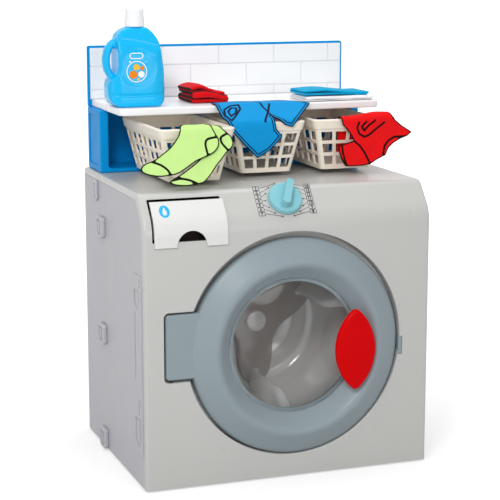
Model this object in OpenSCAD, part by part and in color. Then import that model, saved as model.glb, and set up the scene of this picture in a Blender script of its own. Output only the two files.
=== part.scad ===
// Toy washing machine with a laundry hutch, three baskets and a detergent bottle.
// Millimetres. X to the right, Y to the back, Z up. The origin is on the floor under the cabinet's centre.

/* [Cabinet] */
// Width of the cabinet
body_w = 400; // [390:1:430]
// Depth of the cabinet
body_d = 300; // [290:1:340]
// Height of the deck above the floor
body_h = 388; // [380:1:410]
// Wall of the cabinet mouldings
wall = 3; // [2.4:0.1:3.4]
// Depth of the front moulding's side flange
flange = 8; // [7:0.5:10]
// Overlap of the side panel behind the flange
lap = 4; // [3:0.5:4.5]
// Thickness of the side panel's inner skin
skin_t = 2; // [1.5:0.1:3]
// Angle of the control slope above the horizontal
slope_angle = 50; // [47:1:53]
// Run of the control slope along the depth
slope_run = 32; // [30:1:34]
// Fillet between the deck and the control slope
deck_fillet = 16; // [12:1:18]
// Fillet between the control slope and the front
front_fillet = 40; // [34:1:44]
// Height of a foot
foot_h = 2; // [1.5:0.5:4]
// Diameter of a foot
foot_d = 22; // [16:1:30]
// Distance of a foot's centre from the cabinet's edges
foot_inset = 20; // [17:1:40]
// Length and height of a side clip's cover
clip_size = 28; // [22:1:32]
// How far a side clip stands proud
clip_proud = 6; // [3:0.5:8]
// Width of a side clip's square peg
clip_peg = 8; // [6:0.5:10]
// Distance of the side clips from the cabinet's rear
clip_inset = 98; // [80:1:110]
// Length of the side panel's shallow recess
side_recess_l = 56; // [40:1:70]
// Height of the side panel's shallow recess
side_recess_h = 230; // [180:1:250]
// Depth of the side panel's shallow recess
side_recess_d = 1.2; // [0.6:0.1:1.4]
// Radius of a panel screw's shank
screw_r = 1.5; // [1.2:0.1:1.8]

/* [Door] */
// Sideways place of the door's centre
door_x = 8; // [4:1:12]
// Height of the door's lower edge above the floor
door_under = 32; // [28:1:36]
// Distance of the door's upper edge below the deck
door_over = 64; // [62:1:68]
// Width of the door ring between its outer edge and the window
ring_w = 55; // [50:1:60]
// How far the door ring's crest stands in front of the cabinet
ring_proud = 20; // [16:1:22]
// Wall of the door ring
ring_t = 3; // [2:0.1:3.5]
// Gap round the door ring
recess_gap = 6; // [5:0.5:8]
// Depth of the door recess behind the front
recess_d = 18; // [17:0.5:21]
// Radius of the hinge barrel
barrel_r = 7.5; // [6.5:0.1:8.5]
// Height of the hinge block
hinge_h = 87; // [70:1:100]
// Distance of the hinge axis from the cabinet's left edge
hinge_inset = 36; // [34:1:38]
// Depth of the hinge axis behind the front
hinge_depth = 4.5; // [4:0.1:5.5]
// Radius of the hinge pin
pin_r = 2; // [1.5:0.1:2.5]
// Width of the red door handle
handle_w = 60; // [50:1:66]
// Height of the red door handle
handle_h = 113; // [95:1:125]
// Thickness of the red door handle
handle_t = 14; // [10:0.5:16]
// Thickness of the window
glass_t = 2; // [1.5:0.1:2.5]
// Height of the window's dome
dome_h = 8; // [5:0.5:9]
// Number of door screws
door_screw_n = 6; // [4:1:8]

/* [Drum] */
// How much larger than the window the drum is
drum_over = 12; // [10:0.5:15]
// Inside depth of the drum
drum_depth = 144; // [120:1:150]
// Wall of the drum
drum_wall = 3; // [2:0.1:4]
// Radius between the drum's side and its rear wall
drum_fillet = 25; // [15:1:35]
// How much larger than the window the drum's mouth is
mouth_over = 4; // [1:0.5:5]
// Number of drum paddles
paddle_n = 3; // [2:1:5]
// Width of a drum paddle
paddle_w = 20; // [14:1:26]
// Height of a drum paddle above the drum's wall
paddle_h = 26; // [16:1:32]
// Radius of the drum's axle
axle_r = 5; // [4:0.5:6]
// Thickness of the bearing bracket
bracket_t = 16; // [10:1:22]

/* [Controls] */
// Sideways place of the programme knob
knob_x = -3; // [-8:1:4]
// Diameter of the programme knob
knob_d = 46; // [40:1:50]
// Height of the knob's disc
knob_h = 8; // [6:0.5:10]
// Width of the knob's grip bar
grip_w = 12; // [9:0.5:15]
// Height of the knob's grip bar above the disc
grip_h = 12; // [8:0.5:15]
// Distance of the knob's centre down the slope
knob_drop = 20.5; // [18:0.5:23]
// Radius of the knob's shaft
shaft_r = 4; // [3:0.5:5]
// Distance of the detergent drawer's front from the cabinet's left edge
drawer_inset = 14; // [12:1:20]
// Width of the detergent drawer's front
drawer_w = 98; // [86:1:99]
// Distance of the drawer front's upper edge below the deck
drawer_over = 10; // [8:1:12]
// Height of the detergent drawer's front
drawer_h = 56; // [50:1:57]
// How far the drawer's front stands proud
drawer_proud = 3; // [1:0.5:5]
// Thickness of the drawer's front
drawer_t = 4; // [3.5:0.5:6]
// Depth of the drawer's tray
tray_l = 66; // [50:1:80]
// Height of the drawer's tray
tray_h = 34; // [24:1:36]
// Radius of the finger arch in the drawer's front
arch_r = 20; // [14:1:22]
// Gap round the drawer's front
drawer_gap = 1.5; // [1:0.1:2]

/* [Hutch] */
// How far the hutch's sides stand in from the cabinet's
hutch_inset = 6; // [5:1:9]
// Depth of the hutch's side walls
hutch_d = 70; // [60:1:90]
// Height of the free space under the shelf
bay_h = 87; // [84:1:100]
// Width of a hutch side wall
post_w = 12; // [8:0.5:12]
// Thickness of the hutch floor
floor_t = 6; // [4:0.5:8]
// Thickness of the hutch's back
back_t = 6; // [4:0.5:8]
// How far the shelf's and the tiled face's ends stand in from the hutch's sides
shelf_inset = 5; // [3:1:8]
// Depth of the shelf
shelf_d = 151; // [140:1:160]
// Thickness of the shelf
shelf_t = 10; // [7:0.5:13]
// Skin of the hollow hutch and shelf mouldings
hutch_skin = 2.5; // [1.5:0.1:3]
// Height of the splash board above the shelf
splash_h = 75; // [60:1:100]
// Width of the splash board's blue border
border_w = 5; // [3:0.5:10]
// Thickness of the tiled face
tile_t = 2; // [1.5:0.1:3]
// Height of a tile row
tile_h = 27; // [20:1:35]
// Length of a tile
tile_l = 83; // [60:1:100]
// Width of a grout line
grout_w = 1.2; // [0.8:0.1:2]

/* [Baskets] */
// Gap between two baskets
basket_gap = 11; // [8:1:14]
// Gap between the left basket and the hutch
basket_left_gap = 22; // [18:1:26]
// Gap between the right basket and the hutch
basket_right_gap = 2; // [1:0.5:4]
// Length of a basket over its rim
basket_l = 188; // [176:1:188]
// Height of a basket
basket_h = 70; // [60:1:70]
// How much narrower a basket's foot is on each side
side_taper = 15; // [10:1:17]
// How much shorter a basket's foot is on each end
end_taper = 14; // [8:1:16]
// Wall of a basket
basket_wall = 2.5; // [2:0.1:3.5]
// Height of a basket's rim band
rim_h = 13; // [9:0.5:16]
// How far a basket's rim band stands proud
rim_proud = 2; // [1:0.1:3]
// Rows of holes in a basket's walls
hole_rows = 3; // [2:1:4]
// Width of a rib between two holes
rib_w = 6; // [4:0.5:7]
// How far the left basket is drawn out
left_drawn = 45; // [20:1:50]

/* [Bottle] */
// Distance of the bottle's centre from the shelf's left end
bottle_inset = 32; // [29:1:39]
// Distance of the bottle's centre from the cabinet's centre plane
bottle_y = 30; // [10:1:60]
// Width of the bottle's belly
bottle_w = 74; // [64:1:80]
// Depth of the bottle
bottle_d = 45; // [38:1:52]
// Height of the bottle up to its neck
bottle_h = 106; // [96:1:115]
// Radius of the bottle's neck
neck_r = 9; // [7:0.5:10]
// Radius of the cap's lower end
cap_r = 13.5; // [12.5:0.5:14]
// Height of the cap
cap_h = 24; // [20:1:28]

/* [Laundry] */
// Thickness of a hanging piece of laundry
cloth_t = 3; // [2:0.5:4]
// Length of laundry that goes into a basket
drape_in = 22; // [15:1:30]
// Width of the folded shirt
shirt_w = 74; // [60:1:80]
// Depth of the folded shirt
shirt_d = 62; // [50:1:70]
// Height of the folded shirt
shirt_h = 18; // [12:1:24]
// Sideways place of the folded shirt's centre
shirt_x = -43; // [-50:1:-35]
// Width of the folded white towels
towels_w = 106; // [90:1:115]
// Depth of the folded white towels
towels_d = 66; // [55:1:75]
// Height of the folded white towels
towels_h = 12; // [8:1:16]
// Width of the folded turquoise towel
towel_w = 96; // [80:1:105]
// Depth of the folded turquoise towel
towel_d = 58; // [50:1:65]
// Height of the folded turquoise towel
towel_h = 12; // [8:1:16]
// Width of the pair of socks
socks_w = 82; // [60:1:90]
// Width of the shorts
shorts_w = 100; // [80:1:105]
// Width of the T-shirt
t_shirt_w = 64; // [50:1:66]

/* [Fits] */
// Clearance of a turning or sliding fit
run_gap = 0.08; // [0.05:0.01:0.1]
// Gap between a loose piece and what carries it
rest_gap = 0.3; // [0.2:0.05:0.4]
// Seam between two fixed panels
seam = 0.3; // [0.1:0.05:0.5]

/* [Hidden] */
$fn = 96;
eps = 1;

// Cabinet planes
half_w = body_w / 2;
half_d = body_d / 2;
door_r = (body_h - door_over - door_under) / 2;
door_z = door_under + door_r;
window_r = door_r - ring_w;
drum_r = window_r + drum_over;
mouth_r = window_r + mouth_over;
drawer_x = -half_w + drawer_inset + drawer_w / 2;
drawer_z = body_h - drawer_over - drawer_h;
hutch_w = body_w - 2 * hutch_inset;
shelf_w = hutch_w - 2 * shelf_inset;
bottle_x = bottle_inset - shelf_w / 2;
front_y = -half_d;
front_in = front_y + wall;
rear_in = half_d - wall;
base_z = foot_h;
base_top = base_z + wall;
deck_in = body_h - wall;
skin_x = half_w - wall - skin_t;
n_deck = [0, 1];
n_slope = [-sin(slope_angle), cos(slope_angle)];
n_front = [-1, 0];
slope_top = [front_y + slope_run, body_h];
slope_foot = [front_y, body_h - slope_run * tan(slope_angle)];
deck_c = corner_in(slope_top, n_deck, n_slope, deck_fillet);
front_c = corner_in(slope_foot, n_slope, n_front, front_fillet);
foot_at = [half_w - foot_inset, half_d - foot_inset];
pad_r = 30;

// Side clips and panel screws
clip_y = half_d - clip_inset;
clip_low = base_z + clip_size / 2 + 1;
clip_drop = 70;
clip_high = body_h - clip_drop;
clip_zs = [clip_low, (clip_low + clip_high) / 2, clip_high];
side_recess_y = front_y + flange + 4;
side_recess_z = 49;
boss_w = 12;
boss_l = 14;
boss_x = skin_x - boss_w / 2;
boss_zs = [60, 190, 330];
screw_head_r = 2 * screw_r;
screw_head_h = 1.6;
screw_l = 12;
screw_hole_r = screw_r + 0.2;

// Door recess, hinge and latch
recess_r = door_r + recess_gap;
recess_floor = front_y + recess_d;
pan_back = recess_floor + wall;
seal_r = window_r + 9;
hinge_x = hinge_inset - half_w;
hinge_y = front_y + hinge_depth;
pocket_gap = 3;
pocket_x = hinge_x - barrel_r - pocket_gap;
pocket_w = door_x - door_r - pocket_x;
pocket_floor = hinge_y + barrel_r + 2;
pocket_h = hinge_h + 2 * pocket_gap;
hinge_rise = 12.5;
hinge_z = door_z + hinge_rise;
pin_boss = 10;
pin_l = pocket_h + 2 * pin_boss - 2;
latch_r = door_r - 13;
latch_w = 9;
latch_h = 16;
latch_slot = 1.5;
catch_w = 9;
catch_h = 25;
catch_x = door_x + door_r + 1.5;
catch_z = door_z - 10.5;
catch_back = front_y + 10;

// Door ring: a half round section between the window and the outer edge
ring_c = (door_r + window_r) / 2;
ring_s = (door_r - window_r) / 2;
ring_cy = front_y - ring_proud + ring_s;
ring_back = recess_floor - 6;
ring_cut = sqrt(ring_s * ring_s - (ring_back - ring_cy) * (ring_back - ring_cy));
ring_plate_t = 3;
window_lip = 5;
glass_r = ring_c - ring_cut - rest_gap;
glass_in_r = glass_r - window_lip - 1;
dome_r = (glass_in_r * glass_in_r + dome_h * dome_h) / (2 * dome_h);
dome_top = ring_back - glass_t - dome_h;
handle_x = door_x + window_r - 13;
handle_z = door_z - 6.5;
handle_back = ring_cy - ring_s + 11;
handle_arc = (handle_h * handle_h + handle_w * handle_w) / (4 * handle_w);
door_boss_r = 4.5;
door_screw_l = 12;

// Drum
drum_front = pan_back + 3.7;
drum_back_in = drum_front + drum_depth;
drum_back = drum_back_in + drum_wall;
hub_r = 14;
hub_l = 8;
bracket_y = drum_back + hub_l + 1;
clip_ring_t = 3;
clip_ring_y = bracket_y + bracket_t + 1;
axle_end = clip_ring_y + clip_ring_t + 3;
axle_start = drum_back_in - 7;
hub_cap_r = hub_r - 1.5;
hub_cap_h = 11;
bracket_top_r = 24;
bracket_foot = 60;
paddle_turn = 70;

// Controls
slope_in = -wall;
collar_t = 2;
collar_r = shaft_r + 3;
module_top = slope_in - rest_gap - collar_t - rest_gap;
module_w = 64;
module_d = 34;
module_h = 16;
module_post = 26;
speaker_r = 15;
speaker_t = 5;
tray_w = drawer_w - 8;
tray_y = front_y + 18;
tray_z = drawer_z + 2;
tray_wall = 2.5;
arch_x = drawer_x + 1;
sleeve_in = drawer_w / 2 + drawer_gap;
sleeve_out = sleeve_in + tray_wall;
sleeve_z = drawer_z - drawer_gap;
sleeve_back = tray_y + tray_l + 3;
rail_w = 6;
rail_x = tray_w / 2 - 12;

// Sound unit and batteries
cell_r = 7;
cell_l = 50;
cell_n = 3;
case_wall = 2;
case_w = cell_l + 16;
case_d = 32;
case_drop = 88;
case_z = body_h - case_drop;
case_h = cell_n * 2 * cell_r + 16;
cell_y = rear_in - case_d + case_wall + cell_r;
cover_screw_z = case_z + case_h - 8;

// Hutch
floor_top = body_h + floor_t;
shelf_z = body_h + bay_h;
shelf_top = shelf_z + shelf_t;
hutch_front = half_d - hutch_d;
back_in = half_d - back_t;
shelf_front = back_in - shelf_d;
splash_top = shelf_top + splash_h;
board_r = 8;
shelf_r = 12;
tile_w = shelf_w;
grout_d = 0.6;

// Baskets
basket_z = floor_top + rest_gap;
basket_in_y = back_in - 1 - basket_l / 2;
hutch_in = hutch_w / 2 - post_w;
basket_w = (2 * hutch_in - basket_left_gap - 2 * basket_gap - basket_right_gap) / 3;
basket_pitch = basket_w + basket_gap;
middle_x = basket_left_gap - hutch_in + basket_w / 2 + basket_pitch;
left_x = middle_x - basket_pitch;
right_x = middle_x + basket_pitch;
rim_z = basket_h - rim_h;
foot_band = 7;
hole_h = (rim_z - foot_band - hole_rows * rib_w) / hole_rows + rib_w / hole_rows;
hole_w = 11;
end_holes = 4;
side_holes = 8;

// Laundry
drape_top = basket_z + basket_h + rest_gap + cloth_t;
stack_inset = 5;
stack_y = shelf_front + 7;
shirt_y = stack_y + 61;
towels_x = shelf_w / 2 - stack_inset;
towel_x = towels_x - stack_inset - 1;
hang_z = body_h + 4;

// Bottle
bottle_z = shelf_top + rest_gap;
bottle_side = bottle_w / 2;
bottle_back_x = -27;
loop_c = [-15, 64];
loop_r = 31;
loop_hole_r = 22;
neck_h = 14;

// A point moved inwards from a corner by k, between walls with the outward normals n1 and n2
function corner_in(v, n1, n2, k) = v - k * (n1 + n2) / (1 + n1 * n2);

// Outline of the cabinet from the side, set in by inset, up to a rear plane and down to a lower plane
module case_2d(inset, rear, low) {
    deck_ri = deck_fillet - inset;
    front_ri = front_fillet - inset;
    polygon([
        [rear, low], [rear, body_h - inset],
        deck_c + deck_ri * n_deck, deck_c + deck_ri * n_slope,
        front_c + front_ri * n_slope, front_c + front_ri * n_front,
        [front_y + inset, low],
    ]);
    translate(deck_c) circle(deck_ri);
    translate(front_c) circle(front_ri);
}

// Extrudes a side outline (Y, Z) along X, centred on x
module along_x(w, x = 0) translate([x, 0, 0]) rotate([90, 0, 90]) linear_extrude(w, center = true) children();

// Extrudes a front outline (X, Z) towards the back from y0 to y1
module along_y(y0, y1) translate([0, y1, 0]) rotate([90, 0, 0]) linear_extrude(y1 - y0) children();

// Turns a profile (radius, Y) round the door's axis
module about_door() translate([door_x, 0, door_z]) rotate([-90, 0, 0]) rotate_extrude() children();

// A round bar along Y at (x, z)
module bar_y(x, z, y0, y1, r) translate([x, y1, z]) rotate([90, 0, 0]) cylinder(h = y1 - y0, r = r);

// A box from its lowest to its highest corner
module block(a, b) translate(a) cube(b - a);

// A rectangle from a to b with round corners
module rounded_2d(a, b, r) {
    translate(a + [r, 0]) square([b.x - a.x - 2 * r, b.y - a.y]);
    translate(a + [0, r]) square([b.x - a.x, b.y - a.y - 2 * r]);
    for (x = [a.x + r, b.x - r], y = [a.y + r, b.y - r]) translate([x, y]) circle(r);
}

// Places a child on the control slope, its Z along the slope's outward normal
module on_slope(x, drop) {
    translate([x, slope_top.x - drop * cos(slope_angle), slope_top.y - drop * sin(slope_angle)])
        rotate([slope_angle, 0, 0]) children();
}

// ---------------------------------------------------------------- cabinet

module front_shell() {
    difference() {
        along_x(body_w) case_2d(0, half_d, base_z);
        along_x(body_w - 2 * wall) case_2d(wall, half_d + eps, base_z - eps);
        along_x(body_w + 2 * eps) case_2d(flange, half_d + eps, base_z - eps);
    }
}

// Recess round the door with its hinge pocket, as a pan behind the front
module door_pan() {
    bar_y(door_x, door_z, front_y, pan_back, recess_r + wall);
    block([pocket_x - wall, front_y, hinge_z - pocket_h / 2 - wall],
          [door_x, pocket_floor + wall, hinge_z + pocket_h / 2 + wall]);
    for (s = [-1, 1]) translate([hinge_x, hinge_y, hinge_z + s * (pocket_h + pin_boss) / 2])
        block([-pin_r - wall, front_y - hinge_y, -pin_boss / 2],
              [pin_r + wall, pin_r + wall, pin_boss / 2]);
}

module door_pan_cuts() {
    bar_y(door_x, door_z, front_y - eps, recess_floor, recess_r);
    bar_y(door_x, door_z, front_y - eps, pan_back + eps, seal_r);
    block([pocket_x, front_y - eps, hinge_z - pocket_h / 2],
          [door_x - ring_c, pocket_floor, hinge_z + pocket_h / 2]);
    translate([hinge_x, hinge_y, hinge_z]) cylinder(h = pin_l, r = pin_r + run_gap / 2, center = true);
    block([door_x + latch_r - latch_w / 2 - latch_slot, front_y, door_z - latch_h / 2 - latch_slot],
          [door_x + latch_r + latch_w / 2 + latch_slot, pan_back + eps, door_z + latch_h / 2 + latch_slot]);
    block([catch_x, front_y - eps, catch_z - catch_h / 2],
          [catch_x + catch_w, catch_back, catch_z + catch_h / 2]);
}

module drawer_opening() {
    block([drawer_x - sleeve_in, front_y - eps, sleeve_z],
          [drawer_x + sleeve_in, slope_top.x, drawer_z + drawer_h + drawer_gap]);
}

module front_panel() {
    color("gainsboro") difference() {
        union() {
            front_shell();
            door_pan();
        }
        door_pan_cuts();
        drawer_opening();
        on_slope(knob_x, knob_drop) cylinder(h = 4 * wall, r = shaft_r + run_gap, center = true);
    }
}

// A clip at (y, z) with a square peg through the left side panel
module side_clip(y, z, l, h, proud) {
    translate([-half_w, y, z]) {
        rotate([90, 0, -90]) linear_extrude(proud) difference() {
            rounded_2d([-l / 2, -h / 2], [l / 2, h / 2], 4);
            translate([l / 4, 0]) square([l / 8, h / 2], center = true);
        }
        block([0, -clip_peg / 2, -clip_peg / 2], [wall + skin_t, clip_peg / 2, clip_peg / 2]);
    }
}

// Left clips: three square covers and a slim one under the deck
module clips() {
    for (z = clip_zs) side_clip(clip_y, z, clip_size, clip_size, clip_proud);
    side_clip(clip_y + clip_size, body_h - flange - clip_size / 2 - 1, clip_size / 2, clip_size, clip_proud - 2);
}

module side_panel() {
    difference() {
        union() {
            along_x(wall, -half_w + wall / 2) case_2d(flange + seam, half_d, base_z);
            along_x(skin_t, -skin_x - skin_t / 2) case_2d(flange - lap, rear_in, base_z);
            for (z = boss_zs) block([-skin_x, rear_in - boss_l, z - boss_w / 2], [-skin_x + boss_w, rear_in, z + boss_w / 2]);
        }
        block([-half_w - eps, side_recess_y, side_recess_z],
              [-half_w + side_recess_d, side_recess_y + side_recess_l, side_recess_z + side_recess_h]);
        for (y = [clip_y], z = clip_zs) clip_hole(y, z);
        clip_hole(clip_y + clip_size, body_h - flange - clip_size / 2 - 1);
        for (z = boss_zs) bar_y(-boss_x, z, rear_in - screw_l, rear_in + eps, screw_r + run_gap);
    }
}

module clip_hole(y, z) {
    s = clip_peg / 2 + run_gap;
    block([-half_w - eps, y - s, z - s], [-half_w + wall + skin_t + eps, y + s, z + s]);
}

module left_side_panel() color("silver") side_panel();
module right_side_panel() color("silver") mirror([1, 0, 0]) side_panel();
module left_clips() color("darkgray") clips();
module right_clips() color("darkgray") mirror([1, 0, 0]) clips();

module rear_panel() {
    color("silver") difference() {
        block([-half_w + wall, rear_in, base_z], [half_w - wall, half_d, deck_in]);
        for (x = [-boss_x, boss_x], z = boss_zs) bar_y(x, z, rear_in - eps, half_d + eps, screw_hole_r);
        block([-case_w / 2, rear_in - eps, case_z], [case_w / 2, half_d + eps, case_z + case_h]);
    }
}

module panel_screws() {
    color("dimgray") for (x = [-boss_x, boss_x], z = boss_zs) {
        bar_y(x, z, rear_in - screw_l + eps, half_d, screw_r);
        bar_y(x, z, half_d, half_d + screw_head_h, screw_head_r);
    }
}

// Base panel with a round pad in its middle that meets the floor
module base_panel() {
    color("silver") {
        block([-skin_x, front_in, base_z], [skin_x, rear_in, base_top]);
        cylinder(h = base_top, r = pad_r);
    }
}

module feet() {
    color("dimgray") for (x = [-foot_at.x, foot_at.x], y = [-foot_at.y, foot_at.y])
        translate([x, y, 0]) cylinder(h = foot_h, r = foot_d / 2);
}

module door_seal() {
    color("dimgray") about_door() {
        translate([seal_r - 4, recess_floor]) square([4, wall]);
        translate([seal_r - 4, pan_back]) square([8, 2.5]);
    }
}

module hinge_pin() {
    color("silver") translate([hinge_x, hinge_y, hinge_z]) cylinder(h = pin_l - 1, r = pin_r, center = true);
}

module latch_catch() {
    color("dimgray") block([catch_x, front_y, catch_z - catch_h / 2],
                           [catch_x + catch_w, catch_back, catch_z + catch_h / 2]);
}

module bearing_bracket() {
    color("darkgray") difference() {
        union() {
            along_y(bracket_y, bracket_y + bracket_t) {
                polygon([[door_x - bracket_foot, base_top], [door_x + bracket_foot, base_top],
                         [door_x + bracket_top_r, door_z], [door_x - bracket_top_r, door_z]]);
                translate([door_x, door_z]) circle(bracket_top_r);
            }
            block([door_x - bracket_foot, bracket_y - 6, base_top],
                  [door_x + bracket_foot, bracket_y + bracket_t + 6, base_top + 4]);
        }
        bar_y(door_x, door_z, bracket_y - eps, bracket_y + bracket_t + eps, axle_r + run_gap);
        along_y(bracket_y - eps, bracket_y + bracket_t + eps)
            polygon([[door_x - bracket_foot + 22, base_top + 16], [door_x + bracket_foot - 22, base_top + 16],
                     [door_x + 12, door_z - bracket_top_r - 10], [door_x - 12, door_z - bracket_top_r - 10]]);
    }
}

// ---------------------------------------------------------------- detergent drawer

module drawer_sleeve() {
    color("lightgray") difference() {
        intersection() {
            block([drawer_x - sleeve_out, front_in, sleeve_z - tray_wall],
                  [drawer_x + sleeve_out, sleeve_back + tray_wall, drawer_z + drawer_h]);
            along_x(body_w) case_2d(wall, half_d, base_z);
        }
        difference() {
            block([drawer_x - sleeve_in, front_y, sleeve_z],
                  [drawer_x + sleeve_in, sleeve_back, body_h]);
            for (s = [-1, 1]) block([drawer_x + s * rail_x - rail_w / 2, front_y, sleeve_z - eps],
                                    [drawer_x + s * rail_x + rail_w / 2, sleeve_back + eps, tray_z - rest_gap]);
        }
    }
}

module drawer_front() {
    color("whitesmoke") difference() {
        intersection() {
            difference() {
                along_x(drawer_w, drawer_x) case_2d(-drawer_proud, half_d, base_z);
                along_x(body_w) case_2d(drawer_t - drawer_proud, half_d + eps, base_z - eps);
            }
            block([drawer_x - drawer_w, front_y - 2 * drawer_proud - eps, drawer_z],
                  [drawer_x + drawer_w, 0, drawer_z + drawer_h]);
        }
        bar_y(arch_x, drawer_z + 3, front_y - 3 * drawer_t, 0, arch_r);
    }
}

module drawer_tray() {
    wide = tray_w / 2;
    color("whitesmoke") intersection() {
        difference() {
            block([drawer_x - wide, front_y, tray_z], [drawer_x + wide, tray_y + tray_l, tray_z + tray_h]);
            block([drawer_x - wide + tray_wall, tray_y + tray_wall, tray_z + tray_wall],
                  [drawer_x + wide - tray_wall, tray_y + tray_l - tray_wall, tray_z + tray_h + eps]);
            block([drawer_x - wide + tray_wall, front_y - eps, tray_z - eps],
                  [drawer_x + wide - tray_wall, tray_y, tray_z + tray_h + eps]);
        }
        along_x(body_w) case_2d(drawer_t - drawer_proud, half_d, base_z);
    }
}

// ---------------------------------------------------------------- knob and sound unit

module knob() {
    color("lightblue") on_slope(knob_x, knob_drop) difference() {
        union() {
            translate([0, 0, rest_gap]) cylinder(h = knob_h - 3, r = knob_d / 2);
            translate([0, 0, rest_gap + knob_h - 3]) cylinder(h = 3, r1 = knob_d / 2, r2 = knob_d / 2 - 3);
            intersection() {
                translate([0, 0, rest_gap]) cylinder(h = knob_h + grip_h, r = knob_d / 2 + 1);
                block([-grip_w / 2, -knob_d, knob_h - 2], [grip_w / 2, knob_d, knob_h + grip_h + rest_gap]);
            }
        }
        translate([0, 0, -eps]) cylinder(h = knob_h + eps, r = shaft_r + run_gap / 2);
    }
}

module knob_shaft() {
    color("darkgray") on_slope(knob_x, knob_drop) {
        translate([0, 0, module_top - 10]) cylinder(h = knob_h - 1 - module_top + 10, r = shaft_r);
        translate([0, 0, slope_in - rest_gap - collar_t]) cylinder(h = collar_t, r = collar_r);
    }
}

module sound_module() {
    color("darkslategray") on_slope(knob_x, knob_drop) difference() {
        union() {
            block([-module_w / 2, -module_d / 2, module_top - module_h], [module_w / 2, module_d / 2, module_top]);
            for (s = [-1, 1]) translate([s * module_post, 0, module_top]) cylinder(h = slope_in - module_top, r = 3.5);
        }
        translate([0, 0, module_top - 10 - rest_gap]) cylinder(h = 20, r = shaft_r + run_gap);
    }
}

module speaker() {
    color("dimgray") on_slope(knob_x, knob_drop)
        translate([0, 0, module_top - module_h - speaker_t]) cylinder(h = speaker_t, r = speaker_r);
}

module battery_box() {
    color("dimgray") difference() {
        union() {
            difference() {
                block([-case_w / 2 - case_wall, rear_in - case_d, case_z - case_wall],
                      [case_w / 2 + case_wall, rear_in, case_z + case_h + case_wall]);
                block([-case_w / 2, rear_in - case_d + case_wall, case_z], [case_w / 2, rear_in + eps, case_z + case_h]);
            }
            bar_y(0, cover_screw_z, rear_in - case_d, rear_in, 4);
        }
        bar_y(0, cover_screw_z, rear_in - screw_l, rear_in + eps, screw_r + run_gap);
    }
}

module battery_cover() {
    color("silver") difference() {
        block([-case_w / 2 + seam, rear_in, case_z + seam], [case_w / 2 - seam, half_d, case_z + case_h - seam]);
        bar_y(0, cover_screw_z, rear_in - eps, half_d + eps, screw_hole_r);
    }
}

module batteries() {
    color("goldenrod") for (i = [0 : cell_n - 1])
        translate([-cell_l / 2, cell_y, case_z + cell_r + i * (2 * cell_r + 0.1)]) rotate([0, 90, 0])
            cylinder(h = cell_l, r = cell_r);
}

module battery_screw() {
    color("dimgray") {
        bar_y(0, cover_screw_z, rear_in - screw_l + eps, half_d, screw_r);
        bar_y(0, cover_screw_z, half_d, half_d + screw_head_h, screw_head_r);
    }
}

// ---------------------------------------------------------------- door

module ring_section(shrink) translate([ring_c, ring_cy]) circle(ring_s - shrink);

module door_ring() {
    color("lightslategray") difference() {
        union() {
            about_door() intersection() {
                difference() {
                    ring_section(0);
                    ring_section(ring_t);
                }
                translate([0, ring_back - body_d]) square([body_w, body_d]);
            }
            for (i = [0 : door_screw_n - 1]) intersection() {
                door_boss(i, ring_cy - ring_s, ring_back, door_boss_r);
                about_door() ring_section(ring_t / 2);
            }
            translate([hinge_x, hinge_y, hinge_z]) cylinder(h = hinge_h, r = barrel_r, center = true);
            hinge_arm();
        }
        translate([hinge_x, hinge_y, hinge_z]) cylinder(h = hinge_h + 2 * eps, r = pin_r + run_gap, center = true);
        for (i = [0 : door_screw_n - 1])
            door_boss(i, ring_back - door_screw_l - 1, ring_back + eps, screw_r + run_gap);
    }
}

// The block that joins the hinge barrel to the ring, cut off where it would show inside the ring
module hinge_arm() {
    difference() {
        block([hinge_x, hinge_y - barrel_r, hinge_z - hinge_h / 2],
              [door_x - ring_c - ring_s / 2, min(hinge_y + barrel_r - 1, ring_back), hinge_z + hinge_h / 2]);
        about_door() {
            ring_section(ring_t);
            translate([0, ring_back - body_d]) square([ring_c, body_d]);
        }
    }
}

// A round bar on the door ring's screw circle
module door_boss(i, y0, y1, r) {
    a = (i + 0.5) * 360 / door_screw_n;
    bar_y(door_x + ring_c * cos(a), door_z + ring_c * sin(a), y0, y1, r);
}

module door_back_ring() {
    color("slategray") difference() {
        about_door() translate([glass_r - window_lip, ring_back])
            square([ring_c + ring_cut - glass_r + window_lip, ring_plate_t]);
        for (i = [0 : door_screw_n - 1]) door_boss(i, ring_back - eps, ring_back + 2 * ring_plate_t, screw_hole_r);
    }
}

module door_screws() {
    color("silver") for (i = [0 : door_screw_n - 1]) {
        door_boss(i, ring_back - door_screw_l, ring_back + ring_plate_t, screw_r);
        door_boss(i, ring_back + ring_plate_t, ring_back + ring_plate_t + screw_head_h, screw_head_r);
    }
}

module door_window() {
    color("white", 0.4) about_door() {
        translate([glass_in_r, ring_back - glass_t]) square([glass_r - glass_in_r, glass_t]);
        intersection() {
            translate([0, dome_top + dome_r]) difference() {
                circle(dome_r, $fn = 360);
                circle(dome_r - glass_t, $fn = 360);
            }
            translate([0, dome_top]) square([glass_in_r, dome_h + glass_t]);
        }
    }
}

// A lens between two arcs, hooked over the ring's inner side
module door_handle() {
    color("red") difference() {
        along_y(handle_back - handle_t, handle_back) intersection() {
            translate([handle_x - handle_arc + handle_w / 2, handle_z]) circle(handle_arc);
            translate([handle_x + handle_arc - handle_w / 2, handle_z]) circle(handle_arc);
        }
        about_door() ring_section(0);
    }
}

module door_latch() {
    color("slategray") block([door_x + latch_r - latch_w / 2, ring_back + ring_plate_t, door_z - latch_h / 2],
                             [door_x + latch_r + latch_w / 2, pan_back + 1, door_z + latch_h / 2]);
}

// ---------------------------------------------------------------- drum

// Half section of the drum's outside, set in by inset
module drum_2d(inset, front) {
    straight = drum_back - drum_fillet;
    translate([0, front]) square([drum_r - drum_fillet, drum_back - inset - front]);
    translate([0, front]) square([drum_r - inset, straight - front]);
    translate([drum_r - drum_fillet, straight]) intersection() {
        circle(drum_fillet - inset);
        square(drum_r);
    }
}

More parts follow.
